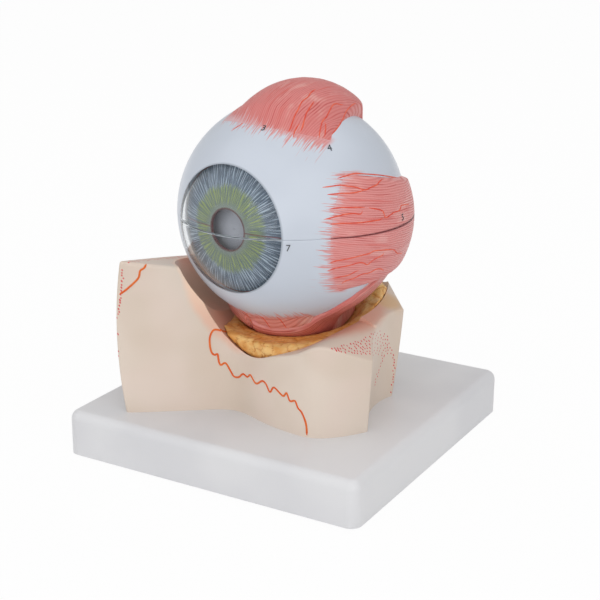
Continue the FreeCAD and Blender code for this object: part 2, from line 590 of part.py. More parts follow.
def base_tray():
    """Moulded tray, open below, with cross ribs and bosses for the pads and the bone's screws."""
    tray = rounded_block(STAND_WIDTH, STAND_HEIGHT, STAND_CORNER, TRAY_FLOOR)
    top_edges = [edge for edge in tray.Edges if abs(edge.CenterOfMass.z - TRAY_TOP) < 0.01]
    tray = tray.makeFillet(STAND_EDGE, top_edges)
    hollow = rounded_block(STAND_WIDTH - 2 * STAND_WALL, STAND_HEIGHT - STAND_WALL,
                           STAND_CORNER - STAND_WALL, TRAY_FLOOR)
    tray = tray.cut(hollow)
    span = STAND_WIDTH - 2 * STAND_WALL
    rib_height = STAND_HEIGHT - STAND_WALL - RIB_SETBACK
    rib_foot = TRAY_FLOOR + RIB_SETBACK
    half = RIB_THICKNESS / 2
    adds = [Part.makeBox(RIB_THICKNESS, span, rib_height, Vector(-half, -span / 2, rib_foot)),
            Part.makeBox(span, RIB_THICKNESS, rib_height, Vector(-span / 2, -half, rib_foot))]
    for place in foot_places():
        foot = place + Z_AXIS * TRAY_FLOOR
        adds.append(Part.makeCylinder(FOOT_BOSS_RADIUS, STAND_HEIGHT - STAND_WALL, foot))
    for x, y in SCREW_PLACES:
        foot = Vector(x, y, TRAY_TOP - STAND_WALL - SCREW_BOSS_HEIGHT)
        adds.append(Part.makeCylinder(SCREW_BOSS_RADIUS, SCREW_BOSS_HEIGHT, foot))
    tray = tray.fuse(adds)
    for place in foot_places():
        seat = place + Z_AXIS * TRAY_FLOOR
        tray = tray.cut(Part.makeCylinder(FOOT_RADIUS, FOOT_RECESS, seat))
    for x, y in SCREW_PLACES:
        tray = tray.cut(Part.makeCylinder(SCREW_RADIUS + SCREW_CLEARANCE, TRAY_TOP, Vector(x, y, 0)))
    return clean(tray)


def base_feet():
    height = FOOT_STANDOFF + FOOT_RECESS
    pads = []
    for place in foot_places():
        pad = Part.makeCylinder(FOOT_RADIUS, height, place)
        rim = [edge for edge in pad.Edges if edge.CenterOfMass.z < 0.01 and len(edge.Vertexes) == 1]
        pads.append(pad.makeFillet(FOOT_STANDOFF / 2, rim))
    return Part.makeCompound(pads)


def orbit_screws():
    """Pan-head screws, up through the tray into the bone."""
    head_top = TRAY_TOP - STAND_WALL - SCREW_BOSS_HEIGHT
    screws = []
    for x, y in SCREW_PLACES:
        shank_length = TRAY_TOP + SCREW_GRIP - head_top
        shank = Part.makeCylinder(SCREW_RADIUS, shank_length, Vector(x, y, head_top))
        head_foot = Vector(x, y, head_top - SCREW_HEAD_HEIGHT)
        head = Part.makeCylinder(SCREW_HEAD_RADIUS, SCREW_HEAD_HEIGHT, head_foot)
        low = [edge for edge in head.Edges
               if abs(edge.CenterOfMass.z - head_top + SCREW_HEAD_HEIGHT) < 0.01 and len(edge.Vertexes) == 1]
        head = head.makeFillet(SCREW_HEAD_HEIGHT / 2, low)
        screws.append(clean(head.fuse(shank)))
    return Part.makeCompound(screws)


# ================================================================ bone and fat
def bone_section(height, nasal, temple, rear_lean, inset):
    """Level outline of the bone; nasal, temple and rear_lean push its sides and rear corner out."""
    nasal_share = nasal / abs(BONE_NASAL_FRONT[0])
    temple_share = temple / BONE_TEMPLE_FRONT[0]

    def lift(point):
        share = nasal_share if point[0] < 0 else temple_share
        back = rear_lean if point == BONE_TEMPLE_REAR else 0.0
        return Vector(point[0] * (1 + share), point[1] + inset + back, height)

    front = [BONE_NASAL_FRONT] + BONE_FRONT + [BONE_TEMPLE_FRONT]
    temple_side = [BONE_TEMPLE_FRONT] + BONE_TEMPLE_SIDE + [BONE_TEMPLE_REAR]
    back = [BONE_TEMPLE_REAR] + BONE_BACK + [BONE_APEX_TEMPLE]
    nasal_side = [BONE_APEX_NASAL] + BONE_NASAL_SIDE + [BONE_NASAL_FRONT]
    edges = [spline([lift(p) for p in run]) for run in (front, temple_side, back)]
    edges += polyline([lift(BONE_APEX_TEMPLE), lift(BONE_APEX_NASAL)])
    edges.append(spline([lift(p) for p in nasal_side]))
    return Part.Wire(edges)


def bone_block(inset=0.0):
    """The bone's outer walls, lofted from the stand up past its rim; inset moves them back."""
    sections = [bone_section(TRAY_TOP, 0.0, 0.0, 0.0, inset),
                bone_section(BONE_WAIST, NASAL_BULGE, TEMPLE_BULGE, TEMPLE_REAR_LEAN, inset),
                bone_section(BONE_CROWN, NASAL_LEAN, TEMPLE_LEAN, TEMPLE_REAR_LEAN, inset)]
    return Part.makeLoft(sections, True, False)


def above(profile, y_from, y_to):
    """Everything over a rim drawn as (sideways, height) points, between two depths."""
    roof = 2 * BONE_CROWN
    rim = [Vector(x, y_from, z) for x, z in profile]
    closing = [rim[-1], Vector(rim[-1].x, y_from, roof), Vector(rim[0].x, y_from, roof), rim[0]]
    return face_of([spline(rim)] + polyline(closing)).extrude(Vector(0, y_to - y_from, 0))


def socket():
    """Room that the bone leaves for the eyeball and its bed of fat."""
    bowl = Part.Ellipse(Vector(0, SOCKET_DEPTH, 0), Vector(SOCKET_HALF_WIDTH, 0, 0), Vector(0, 0, 0))
    axis = polyline([Vector(-SOCKET_HALF_WIDTH, 0, 0), Vector(SOCKET_HALF_WIDTH, 0, 0)])
    profile = face_of([bowl.toShape(-math.pi / 2, math.pi / 2)] + axis)
    room = profile.revolve(Vector(0, 0, 0), Vector(1, 0, 0), 360)
    room.translate(SOCKET_CENTRE)
    room = room.common(Part.makeSphere(SOCKET_LIMIT, EYE_CENTRE))
    return room.fuse(Part.makeSphere(EYE_ROOM, EYE_CENTRE))


def over_nasal_top():
    """Everything over the sloping nasal top."""
    size = 4 * STAND_WIDTH
    block = Part.makeBox(size, size, size, Vector(-size / 2, -size / 2, 0))
    block.rotate(Vector(0, 0, 0), Vector(1, 0, 0), -NASAL_TOP_FALL)
    block.translate(Vector(BONE_FRONT[0][0], BONE_FRONT[0][1], NASAL_TOP))
    return block


def bone_shell():
    """Outer walls and stepped rim, with softened edges, before the socket is taken out."""
    middle = EYE_CENTRE.y
    bone = bone_block().cut(over_nasal_top())
    bone = bone.cut(above(RIM_FRONT + RIM_TEMPLE, -2 * STAND_WIDTH, middle))
    bone = clean(bone.cut(above(RIM_BACK, middle, 2 * STAND_WIDTH)))
    walls = [face for face in bone.Faces
             if face.BoundBox.ZMin < TRAY_TOP + BONE_SOFTENING < face.BoundBox.ZMax]
    soft = [edge for edge in bone.Edges if edge.BoundBox.ZMax > TRAY_TOP + BONE_SOFTENING
            and any(edge.isSame(border) for wall in walls for border in wall.Edges)]
    return bone.makeFillet(BONE_SOFTENING, soft)


def orbit_bone():
    """Cast block of the orbit's floor and walls, waisted on the nose side, with its stepped rim."""
    bone = bone_shell().cut(socket())
    bone = bone.cut(into_place(Part.makeCylinder(PEG_RADIUS, PEG_ROOT, Vector(0, 0, -PEG_ROOT))))
    for x, y in SCREW_PLACES:
        bone = bone.cut(Part.makeCylinder(SCREW_RADIUS, TRAY_TOP + SCREW_GRIP, Vector(x, y, 0)))
    return clean(bone)


def fat_ring_place(radius, turn, depth):
    """A point of the fat's tilted ring, about the upright axis through the lower rectus."""
    centre = into_place(Part.Vertex(Vector(0, LOWER_MUSCLE["back"], 0))).Point
    rise = radius * math.sin(turn) * math.tan(math.radians(FAT_TILT))
    return centre + Vector(radius * math.cos(turn), radius * math.sin(turn), rise - depth)


def fat_roll():
    """Filled ring with a rounded top edge, tilted up to the back."""
    foot = -SOCKET_LIMIT
    inner, crest, outer = [Vector(radius, 0, FAT_CREST[1] - depth)
                           for radius, depth in (FAT_INNER_EDGE, FAT_CREST, FAT_OUTER_EDGE)]
    floor = [outer, Vector(outer.x, 0, foot), Vector(0, 0, foot), Vector(0, 0, inner.z), inner]
    roll = face_of([arc(inner, crest, outer)] + polyline(floor))
    roll = roll.revolve(Vector(0, 0, 0), Z_AXIS, 360)
    roll.rotate(Vector(0, 0, 0), Vector(1, 0, 0), FAT_TILT)
    roll.translate(fat_ring_place(0.0, 0.0, FAT_CREST[1]))
    return roll


def orbital_fat():
    """Bed of fat between bone and eyeball, with a rolled, lobed edge."""
    lobes = []
    for index in range(FAT_LOBES):
        place = fat_ring_place(FAT_LOBE_RING, 2 * math.pi * index / FAT_LOBES, FAT_LOBE_DEPTH)
        lobes.append(Part.makeSphere(FAT_LOBE_RADIUS, place))
    fat = fat_roll().common(socket()).fuse(lobes).common(bone_block(FAT_INSET)).cut(orbit_bone_walls())
    muscle_room = muscle_spindle(LOWER_MUSCLE, FAT_GAP).mirror(Vector(0, 0, 0), Z_AXIS)
    oblique_room = Part.makeSphere(OBLIQUE_RADIUS + FAT_GAP)
    fat = fat.cut(into_place(muscle_room)).cut(into_place(oblique_room))
    fat = fat.cut(into_place(Part.makeCylinder(PEG_RADIUS, PEG_ROOT, Vector(0, 0, -PEG_ROOT))))
    return clean(fat)


def orbit_bone_walls():
    """Bone that the fat's outer lobes must not enter."""
    return bone_block().cut(socket())


# ================================================================ build
def build():
    superior = straight_muscle(UPPER_MUSCLE)
    lateral = {upper: side_muscle_half(False, upper) for upper in (True, False)}
    medial = {upper: side_muscle_half(True, upper) for upper in (True, False)}
    in_eye = {
        "sclera_lower": sclera_half(False),
        "cornea_lower": cornea_half(False),
        "lateral_rectus_lower": lateral[False],
        "medial_rectus_lower": medial[False],
        "inferior_rectus": inferior_rectus(),
        "inferior_oblique": inferior_oblique(lateral[False]),
        "optic_nerve_lower": optic_nerve_half(False),
        "optic_sheath_lower": optic_sheath_half(False),
        "sclera_dowels": dowels(SCLERA_WALL / 2, SCLERA_DOWEL_RADIUS, DOWEL_REACH),
        "choroid_lower": choroid_half(False),
        "retina_lower": retina_half(False),
        "ciliary_body_lower": ciliary_half(False),
        "iris_lower": iris_half(False),
        "choroid_dowels": dowels(CHOROID_OUTER + CHOROID_WALL / 2, CHOROID_DOWEL_RADIUS, DOWEL_REACH),
        "vitreous_body": vitreous_body(),
        "lens": lens(),
        "choroid_upper": choroid_half(True),
        "retina_upper": retina_half(True),
        "ciliary_body_upper": ciliary_half(True),
        "iris_upper": iris_half(True),
        "sclera_upper": sclera_half(True),
        "cornea_upper": cornea_half(True),
        "superior_rectus": superior,
        "superior_oblique": superior_oblique(superior),
        "lateral_rectus_upper": lateral[True],
        "medial_rectus_upper": medial[True],
        "optic_nerve_upper": optic_nerve_half(True),
        "optic_sheath_upper": optic_sheath_half(True),
        "eyeball_peg": eyeball_peg(),
    }
    parts = {name: into_place(shape) for name, shape in in_eye.items()}
    parts["base_tray"] = base_tray()
    parts["base_feet"] = base_feet()
    parts["orbit_screws"] = orbit_screws()
    parts["orbit_bone"] = orbit_bone()
    parts["orbital_fat"] = orbital_fat()
    return parts


os.makedirs("parts", exist_ok=True)
for name, shape in build().items():
    shape.exportStep("parts/" + name + ".step")
    print(name, "solids", len(shape.Solids), "valid", shape.isValid(), "volume", round(shape.Volume))
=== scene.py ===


# %% [markdown]
# # A teaching model of the eye, dressed for the camera
# The part was made in CAD as a nest of shells that open on one level seam. This lesson loads those solids
# as a fixed frame and gives every surface the look of painted, moulded plastic: an eyeball with muscle
# stumps, a clear cornea over a painted iris, a bed of fat, and a cast block of bone on a plain white stand.

# %% Load the frame
import bmesh
import bpy
import math
import random
from mathutils import Matrix, Vector, noise
from mathutils.bvhtree import BVHTree


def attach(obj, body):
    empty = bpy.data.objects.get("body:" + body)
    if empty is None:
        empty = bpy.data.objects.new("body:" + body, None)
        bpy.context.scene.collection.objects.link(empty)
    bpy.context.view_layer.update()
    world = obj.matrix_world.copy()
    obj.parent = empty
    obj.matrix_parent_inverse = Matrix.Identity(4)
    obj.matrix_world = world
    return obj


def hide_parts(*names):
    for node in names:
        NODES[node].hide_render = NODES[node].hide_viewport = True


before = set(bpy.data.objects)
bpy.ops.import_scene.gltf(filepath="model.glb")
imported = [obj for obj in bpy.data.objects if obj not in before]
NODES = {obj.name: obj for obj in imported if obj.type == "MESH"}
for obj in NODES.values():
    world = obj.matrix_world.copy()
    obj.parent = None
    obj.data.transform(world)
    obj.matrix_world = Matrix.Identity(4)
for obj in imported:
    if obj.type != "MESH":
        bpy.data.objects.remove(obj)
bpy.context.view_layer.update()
MM = 0.001                    # a millimetre in the scene's metres

# %% [markdown]
# ## The eye's own frame
# Everything round in the eye is easiest to draw in the eye's own frame: X to the temple, Y backwards along
# the optical axis, Z up, in millimetres. One matrix takes such a drawing to its place over the stand. It
# could be typed into every object instead, but a finished piece keeps its object at the origin, so the
# matrix is applied to the mesh.

# %% The eye's frame and its main radii
EYE_CENTRE = Vector((2.6, -5.5, 133.9)) * MM
EYE_TURN = math.radians(-7.3)
EYE_PLACE = Matrix.Translation(EYE_CENTRE) @ Matrix.Rotation(EYE_TURN, 4, "Z") @ Matrix.Scale(MM, 4)
IN_PLACE = Matrix.Identity(4)     # for a drawing that already lies over the stand, in metres
GLOBE, GLOBE_FRONT, GLOBE_REAR = 61.0, 62.0, 64.5
LIMBUS_RING = 33.8
LIMBUS = GLOBE_FRONT * math.sqrt(1 - (LIMBUS_RING / GLOBE) ** 2)
print("limbus lies", round(LIMBUS, 2), "mm in front of the eye's centre")

# %% [markdown]
# ## Colours
# Colours are given as screen values from 0 to 255, but a shader socket wants linear light. This
# small function turns one into the other, so that the numbers in the materials stay readable.

# %% Screen colour to linear light
def paint(red, green, blue):
    """A screen colour (0 to 255) as the linear RGBA that a socket takes."""
    def linear(value):
        share = value / 255
        return share / 12.92 if share <= 0.04045 else ((share + 0.055) / 1.055) ** 2.4
    return (linear(red), linear(green), linear(blue), 1.0)


# %% [markdown]
# ## A short way to write shader nodes
# A material is a graph. Written with raw calls each node takes four lines, so one helper makes a node, sets
# its properties and joins or fills its inputs. An input that is given another node's socket is linked, and
# anything else is set as its value.

# %% Node helpers
def fill(tree, made, inputs):
    """Links or sets a node's inputs, by name or number."""
    for key, value in inputs.items():
        if isinstance(value, bpy.types.NodeSocket):
            tree.links.new(value, made.inputs[key])
        else:
            made.inputs[key].default_value = value
    return made


def node(tree, kind, inputs, **properties):
    """Adds one shader node, sets its properties and fills its inputs."""
    made = tree.nodes.new("ShaderNode" + kind)
    for key, value in properties.items():
        setattr(made, key, value)
    return fill(tree, made, inputs)


def sums(tree, operation, first, second=0.0):
    """One Math node's result."""
    return node(tree, "Math", {0: first, 1: second}, operation=operation).outputs[0]


def times(tree, first, second):
    return sums(tree, "MULTIPLY", first, second)


def plus(tree, first, second):
    return sums(tree, "ADD", first, second)


def less(tree, first, second):
    return sums(tree, "SUBTRACT", first, second)


def vector(tree, operation, *inputs):
    """One Vector Math node's result: a number for LENGTH and DISTANCE, else a vector."""
    made = node(tree, "VectorMath", dict(enumerate(inputs)), operation=operation)
    return made.outputs[1 if operation in ("LENGTH", "DISTANCE") else 0]


def parts(tree, place):
    """The X, Y and Z of a place."""
    return node(tree, "SeparateXYZ", {0: place}).outputs


def far(tree, first, second):
    """How far a flat place lies from the middle."""
    return sums(tree, "SQRT", plus(tree, times(tree, first, first), times(tree, second, second)))


def mapped(tree, place, kind="POINT", **values):
    """A place that is moved, turned or scaled; the kind TEXTURE undoes the same."""
    return node(tree, "Mapping", {"Vector": place, **values}, vector_type=kind).outputs[0]


def ramp(tree, value, first, last, low, high):
    """A straight ramp: low at first, high at last, and level past both."""
    return node(tree, "MapRange", {0: value, 1: first, 2: last, 3: low, 4: high}).outputs[0]


def ease(tree, value, low, high):
    """0 below low, 1 above high, smooth between."""
    return node(tree, "MapRange", {0: value, 1: low, 2: high}, interpolation_type="SMOOTHSTEP").outputs[0]


def grain(tree, place, scale, detail=3.0, roughness=0.5):
    """Plain noise from 0 to 1 at a place in the mesh."""
    return node(tree, "TexNoise", {"Vector": place, "Scale": scale, "Detail": detail,
                                   "Roughness": roughness}).outputs[0]


def blend(tree, share, first, second):
    """Mixes two colours by a share from 0 to 1."""
    return node(tree, "Mix", {0: share, 6: first, 7: second}, data_type="RGBA").outputs[2]


def layer(tree, colour, mask, share, *tint):
    """Lays a screen colour over another where the mask says, and never more than the share."""
    return blend(tree, times(tree, mask, share), colour, paint(*tint))


def steps(tree, value, *stops):
    """A colour ramp over (place, colour) stops."""
    made = node(tree, "ValToRGB", {0: value})
    ramp_stops = made.color_ramp.elements
    while len(ramp_stops) < len(stops):
        ramp_stops.new(0.5)
    for element, (place, colour) in zip(ramp_stops, stops):
        element.position = place
        element.color = colour
    return made.outputs[0]


def group(name, outputs, **inputs):
    """A shader node group with its sockets: the group, what it is given and its output node.

    An input without a default takes a place, any other one a number.
    """
    tree = bpy.data.node_groups.new(name, "ShaderNodeTree")
    for label, value in inputs.items():
        kind = "NodeSocketVector" if value is None else "NodeSocketFloat"
        socket = tree.interface.new_socket(label.replace("_", " "), in_out="INPUT", socket_type=kind)
        if value is not None:
            socket.default_value = value
    for label in outputs:
        tree.interface.new_socket(label, in_out="OUTPUT", socket_type="NodeSocketFloat")
    return tree, tree.nodes.new("NodeGroupInput").outputs, tree.nodes.new("NodeGroupOutput")


def use(tree, shared, **inputs):
    """Places a node group in a material; an underscore in an input's name stands for a space."""
    named = {key.replace("_", " "): value for key, value in inputs.items()}
    return node(tree, "Group", named, node_tree=shared).outputs


# %% [markdown]
# ## A material's start and end
# Each finish begins the same way: a Principled shader, and the place of the surface in millimetres of the
# eye or of the stand. It ends by joining a colour, a relief and the dull patches to that shader. A Mapping
# node of the kind "texture" undoes the eye's place and turn, so a pattern drawn round the optical axis
# stays round it.

# %% Start and end of a material
def finish(name, colour, roughness, **plain):
    """A new material with its Principled shader; returns it with its node tree."""
    made = bpy.data.materials.new(name)
    made.use_nodes = True
    made.diffuse_color = colour
    values = {key.replace("_", " "): value for key, value in plain.items()}
    fill(made.node_tree, made.node_tree.nodes["Principled BSDF"],
         {"Base Color": colour, "Roughness": roughness, **values})
    return made, made.node_tree


def dress(made, colour, height, depth_mm, dull=None, smooth=0.0, rough=1.0):
    """Joins a colour, a relief and a dullness to a material's shader; returns the material."""
    tree = made.node_tree
    looks = {"Normal": node(tree, "Bump", {"Height": height, "Distance": depth_mm * MM}).outputs[0]}
    if colour is not None:
        looks["Base Color"] = colour
    if dull is not None:
        looks["Roughness"] = ramp(tree, dull, 0.0, 1.0, smooth, rough)
    fill(tree, tree.nodes["Principled BSDF"], looks)
    return made


def show_mixed(tree, share, second):
    """Shows the Principled shader mixed with a second one by a share from 0 to 1."""
    first = tree.nodes["Principled BSDF"].outputs[0]
    mixed = node(tree, "MixShader", {0: share, 1: first, 2: second.outputs[0]})
    tree.links.new(mixed.outputs[0], tree.nodes["Material Output"].inputs["Surface"])


def eye_place(tree):
    """The surface's place in the eye's own frame, in millimetres."""
    here = node(tree, "TexCoord", {}).outputs["Object"]
    return mapped(tree, here, "TEXTURE", Location=EYE_CENTRE, Rotation=(0, 0, EYE_TURN), Scale=(MM, MM, MM))


def stand_place(tree):
    """The surface's place over the stand, in millimetres."""
    here = node(tree, "TexCoord", {}).outputs["Object"]
    return mapped(tree, here, "TEXTURE", Scale=(MM, MM, MM))


def give(coat, *names):
    """Paints solids of the frame with a material."""
    for name in names:
        NODES[name].data.materials[0] = coat
    print(coat.name, "on", *names)


# %% [markdown]
# ## The skin of moulded plastic
# No moulding is perfectly even: it has broad, faint waves of tone, fine orange peel and a few dull patches
# where it was handled. Three noises at different sizes give that to every part, so they are built once as a
# group.

# %% Shared group: moulded skin
def build_moulded_skin():
    tree, given, result = group("moulded skin", ["Tone", "Peel", "Dull"], Place=None, Wave_Size=40.0,
                                Peel_Size=1.2)
    place = given["Place"]
    wave_scale = sums(tree, "DIVIDE", 1.0, given["Wave Size"])
    peel_scale = sums(tree, "DIVIDE", 1.0, given["Peel Size"])
    smudge = grain(tree, place, times(tree, wave_scale, 3.0), 4.0, 0.6)
    fill(tree, result, {"Tone": grain(tree, place, wave_scale, 2.0),
                        "Peel": grain(tree, place, peel_scale, 2.0),
                        "Dull": ease(tree, smudge, 0.5, 0.75)})
    return tree


MOULDED_SKIN = build_moulded_skin()


def toned(tree, tone, dark, light, low=0.35, high=0.65):
    """Two colours that follow the broad waves of tone."""
    return blend(tree, ease(tree, tone, low, high), dark, light)


def moulded(name, light, dark, roughness, place, wave=40.0, peel=1.2):
    """A plastic finish with the moulded skin's tone, peel and dull patches."""
    made, tree = finish(name, light, roughness)
    skin = use(tree, MOULDED_SKIN, Place=place(tree), Wave_Size=wave, Peel_Size=peel)
    colour = toned(tree, skin["Tone"], dark, light)
    return dress(made, colour, skin["Peel"], 0.02, skin["Dull"], roughness, min(1.0, roughness + 0.12))


# %% Stand and feet
give(moulded("stand white", paint(222, 222, 224), paint(214, 214, 217), 0.34, stand_place, wave=60),
     "base_tray")
give(moulded("foot rubber", paint(60, 60, 62), paint(48, 48, 50), 0.8, stand_place, wave=12),
     "base_feet")


# %% [markdown]
# ## Where a muscle ends
# The front of a muscle is painted as a brush leaves it: red strands run out over the white, and white gaps
# run back into the red. Both follow the same strands, so one group serves the sclera and the muscles. It
# measures how far a point lies ahead of the muscle's front, which is an arc; noise that is quick across the
# muscle and slow along it gives each strand its own reach.

# %% Circle through three points
def circle_through(first, middle, last):
    """Centre and radius of the circle through three flat points."""
    (ax, ay), (bx, by), (cx, cy) = first, middle, last
    a, b, c = [x * x + y * y for x, y in (first, middle, last)]
    four_areas = 2 * (ax * (by - cy) + bx * (cy - ay) + cx * (ay - by))
    centre_x = (a * (by - cy) + b * (cy - ay) + c * (ay - by)) / four_areas
    centre_y = (a * (cx - bx) + b * (ax - cx) + c * (bx - ax)) / four_areas
    return centre_x, centre_y, math.hypot(ax - centre_x, ay - centre_y)


def arc_through(first, middle, last, count):
    """Points of the circle through three points, from the first to the last."""
    x, y, radius = circle_through(first, middle, last)
    start = math.atan2(first[1] - y, first[0] - x)
    stop = math.atan2(last[1] - y, last[0] - x)
    turn = (stop - start + math.pi) % (2 * math.pi) - math.pi
    angles = [start + turn * index / count for index in range(count + 1)]
    return [(x + radius * math.cos(angle), y + radius * math.sin(angle)) for angle in angles]


# %% Outlines of the straight muscles
# "rise" and "back" place the barrel's crossways axis; "girth" and "crown" are its two radii. Outlines run
# front corner, front middle, front corner, rear corner, rear corner as (sideways, forward), and "front" is
# the arc at which the paint ends.
UPPER_MUSCLE = {"rise": 10.7, "back": 6.1, "girth": 59.6, "crown": 33.2, "middle": 2.1,
                "outline": [(-25, 26), (5, 33), (37.5, 16), (25, -38), (-23, -38)],
                "front": [(-27, 24), (5, 33), (39, 16)]}
LOWER_MUSCLE = {"rise": 28.3, "back": 7.3, "girth": 47.2, "crown": 46.4, "middle": -1.9,
                "outline": [(-28, 26), (0, 33.5), (30, 22), (24, -36), (-25, -36)],
                "front": [(-29, 25), (1, 33.5), (31, 23)]}
SIDE_MUSCLE = {"rise": 10, "back": 4.5, "girth": 56.1, "crown": 52, "middle": 0,
               "outline": [(-32.5, 23), (-3, 34), (30, 17), (16, -41), (-27.5, -41)],
               "front": [(-34, 22), (-1.5, 34), (31, 18)]}
UPWARDS = Matrix.Identity(4)
DOWNWARDS = Matrix.Diagonal((1, 1, -1, 1))
TO_TEMPLE = Matrix.Rotation(math.radians(95), 4, "Y") @ Matrix.Rotation(math.radians(-7), 4, "Z")
TO_NOSE = Matrix.Diagonal((-1, 1, 1, 1)) @ TO_TEMPLE
SIDES = (("lateral", TO_TEMPLE), ("medial", TO_NOSE))

# %% Shared group: brush front
def build_brush_front():
    tree, given, result = group("brush front", ["Brush", "Bare"], Place=None, Centre=None, Radius=50.0,
                                Half_Width=28.0, Reach=9.0)
    side, back, _ = parts(tree, vector(tree, "SUBTRACT", given["Place"], given["Centre"]))
    ahead = less(tree, far(tree, side, back), given["Radius"])
    spot = node(tree, "CombineXYZ", {0: side, 1: times(tree, ahead, 0.05)}).outputs[0]
    strand = grain(tree, spot, 1.1, 3.0, 0.6)
    reach = ramp(tree, strand, 0.44, 0.7, 0.0, given["Reach"])
    gap = ramp(tree, strand, 0.56, 0.3, 0.0, given["Reach"])
    inside = less(tree, given["Half Width"], sums(tree, "ABSOLUTE", side))
    near_front = times(tree, ease(tree, ahead, -7.0, -3.0), ease(tree, back, 0.0, -6.0))
    brush = times(tree, ease(tree, less(tree, reach, ahead), 0.0, 2.5), near_front)
    fill(tree, result, {"Brush": times(tree, brush, ease(tree, inside, -0.5, 2.0)),
                        "Bare": ease(tree, plus(tree, gap, ahead), -0.6, 2.2)})
    return tree


BRUSH_FRONT = build_brush_front()


def brush_front(tree, place, muscle, reach=9.0):
    """The brush front of one muscle, at a place in the muscle's own frame."""
    corner, middle, far_corner = muscle["front"]
    _, forward, radius = circle_through(corner, middle, far_corner)
    half_width = (far_corner[0] - corner[0]) / 2
    centre = (corner[0] + half_width, -forward, 0)
    return use(tree, BRUSH_FRONT, Place=place, Centre=centre, Radius=radius, Half_Width=half_width,
               Reach=reach)


# %% [markdown]
# ## Muscle fibres
# Painted muscle shows fine parallel grooves, some of them darker, with paler and redder patches that are
# drawn out along the fibres. A wave that is bent a little by noise gives the even grooves, and noise that
# is squeezed across the fibres and stretched along them gives the patches. The group takes a place whose X
# runs across the fibres, in millimetres, so the same group serves every muscle.

# %% Shared group: muscle fibres
def build_fibres():
    tree, given, result = group("muscle fibres", ["Groove", "Dark", "Pale", "Red"], Place=None, Pitch=1.3,
                                Seed=0.0)
    place = vector(tree, "ADD", given["Place"], given["Seed"])

    def stretched(across, along, detail=2.0):
        return grain(tree, vector(tree, "MULTIPLY", place, (across, along, along)), 1.0, detail)

    bend = times(tree, stretched(0.08, 0.05, 1.0), 2.2)
    turns = plus(tree, sums(tree, "DIVIDE", parts(tree, place)[0], given["Pitch"]), bend)
    wave = sums(tree, "SINE", times(tree, turns, 2 * math.pi))
    picked = ease(tree, stretched(0.9, 0.045), 0.52, 0.68)
    fill(tree, result, {"Groove": ease(tree, wave, -0.9, 0.6),
                        "Dark": times(tree, picked, ease(tree, wave, 0.2, -0.9)),
                        "Pale": ease(tree, stretched(0.16, 0.06), 0.52, 0.72),
                        "Red": ease(tree, stretched(0.5, 0.03), 0.56, 0.72)})
    return tree


FIBRES = build_fibres()
UV_UNIT = 100.0               # millimetres that one unit of the UV map stands for


def muscle_coat(name, base, dark, pale, red, place, pitch, ribs, groove_depth=0.16, seed=0.0, muscle=None,
                parted=False):
    """Glossy painted muscle; its front may end as a brush leaves it, and a seam's groove may get painted
    shade.
    """
    made, tree = finish(name, paint(*base), 0.36)
    fibre = use(tree, FIBRES, Place=place(tree), Pitch=pitch, Seed=seed)
    colour = layer(tree, paint(*base), fibre["Pale"], 0.75, *pale)
    colour = layer(tree, colour, fibre["Red"], 0.6, *red)
    colour = layer(tree, colour, less(tree, 1.0, fibre["Groove"]), ribs, *dark)
    colour = layer(tree, colour, fibre["Dark"], 0.8, *dark)
    if muscle:
        bare = brush_front(tree, along_fibres(tree), muscle, 5.5)["Bare"]
        colour = layer(tree, colour, bare, 0.7, 212, 190, 196)
    if parted:
        # Painted shade: the seam's groove is painted dark maroon, a little wider towards the back.
        _, back, up = parts(tree, eye_place(tree))
        groove_reach = ramp(tree, back, -30.0, 30.0, 0.3, 0.75)
        seam_shade = ease(tree, less(tree, groove_reach, sums(tree, "ABSOLUTE", up)), -0.5, 0.3)
        colour = layer(tree, colour, seam_shade, 0.85, 112, 34, 40)
    return dress(made, colour, fibre["Groove"], groove_depth, fibre["Groove"], 0.5, 0.34)


def along_fibres(tree):
    """Place on a muscle from its own UV map, in millimetres: X across the fibres, Y along them."""
    uv = node(tree, "UVMap", {}, uv_map="along the fibres").outputs[0]
    return mapped(tree, uv, Scale=(UV_UNIT, UV_UNIT, UV_UNIT))


def over_fibres(tree):
    """The same place, turned so that the grooves run sideways over the muscle."""
    return mapped(tree, along_fibres(tree), Rotation=(0, 0, math.radians(84)))


def along_tendon(tree):
    """Place on the upper oblique's tendon, turned so that X runs across its slanting band."""
    return mapped(tree, eye_place(tree), Rotation=TENDON_TURN, Scale=(1, 0.3, 0.3))


TENDON_START, TENDON_END = Vector((-44, 8, 42)), Vector((-14, 28, 53))
TENDON_TURN = TENDON_START.cross(TENDON_END).normalized().rotation_difference(Vector((1, 0, 0))).to_euler()
UPPER_RED = muscle_coat("upper muscle red", (214, 126, 122), (182, 66, 62), (226, 164, 156), (206, 82, 68),
                        along_fibres, 1.1, 0.27, 0.07, muscle=UPPER_MUSCLE)
SIDE_RED = muscle_coat("side muscle red", (222, 144, 140), (182, 70, 68), (232, 172, 166), (214, 96, 88),
                       along_fibres, 1.15, 0.32, 0.08, seed=15.0, muscle=SIDE_MUSCLE, parted=True)
MUSCLE_DEEP = muscle_coat("lower muscle red", (222, 144, 134), (176, 70, 62), (222, 176, 164), (190, 76, 66),
                          over_fibres, 1.9, 0.3, seed=30.0, muscle=LOWER_MUSCLE)
OBLIQUE_RED = muscle_coat("oblique red fibres", (214, 128, 120), (170, 64, 60), (224, 158, 150),
                          (190, 74, 68), along_fibres, 1.5, 0.34, seed=60.0)
give(muscle_coat("tendon pink fibres", (218, 150, 142), (176, 84, 78), (232, 196, 188), (206, 110, 100),
                 along_tendon, 1.2, 0.34, 0.1, seed=80.0), "superior_oblique")
print("muscle coats:", UPPER_RED.name, SIDE_RED.name, MUSCLE_DEEP.name, OBLIQUE_RED.name)

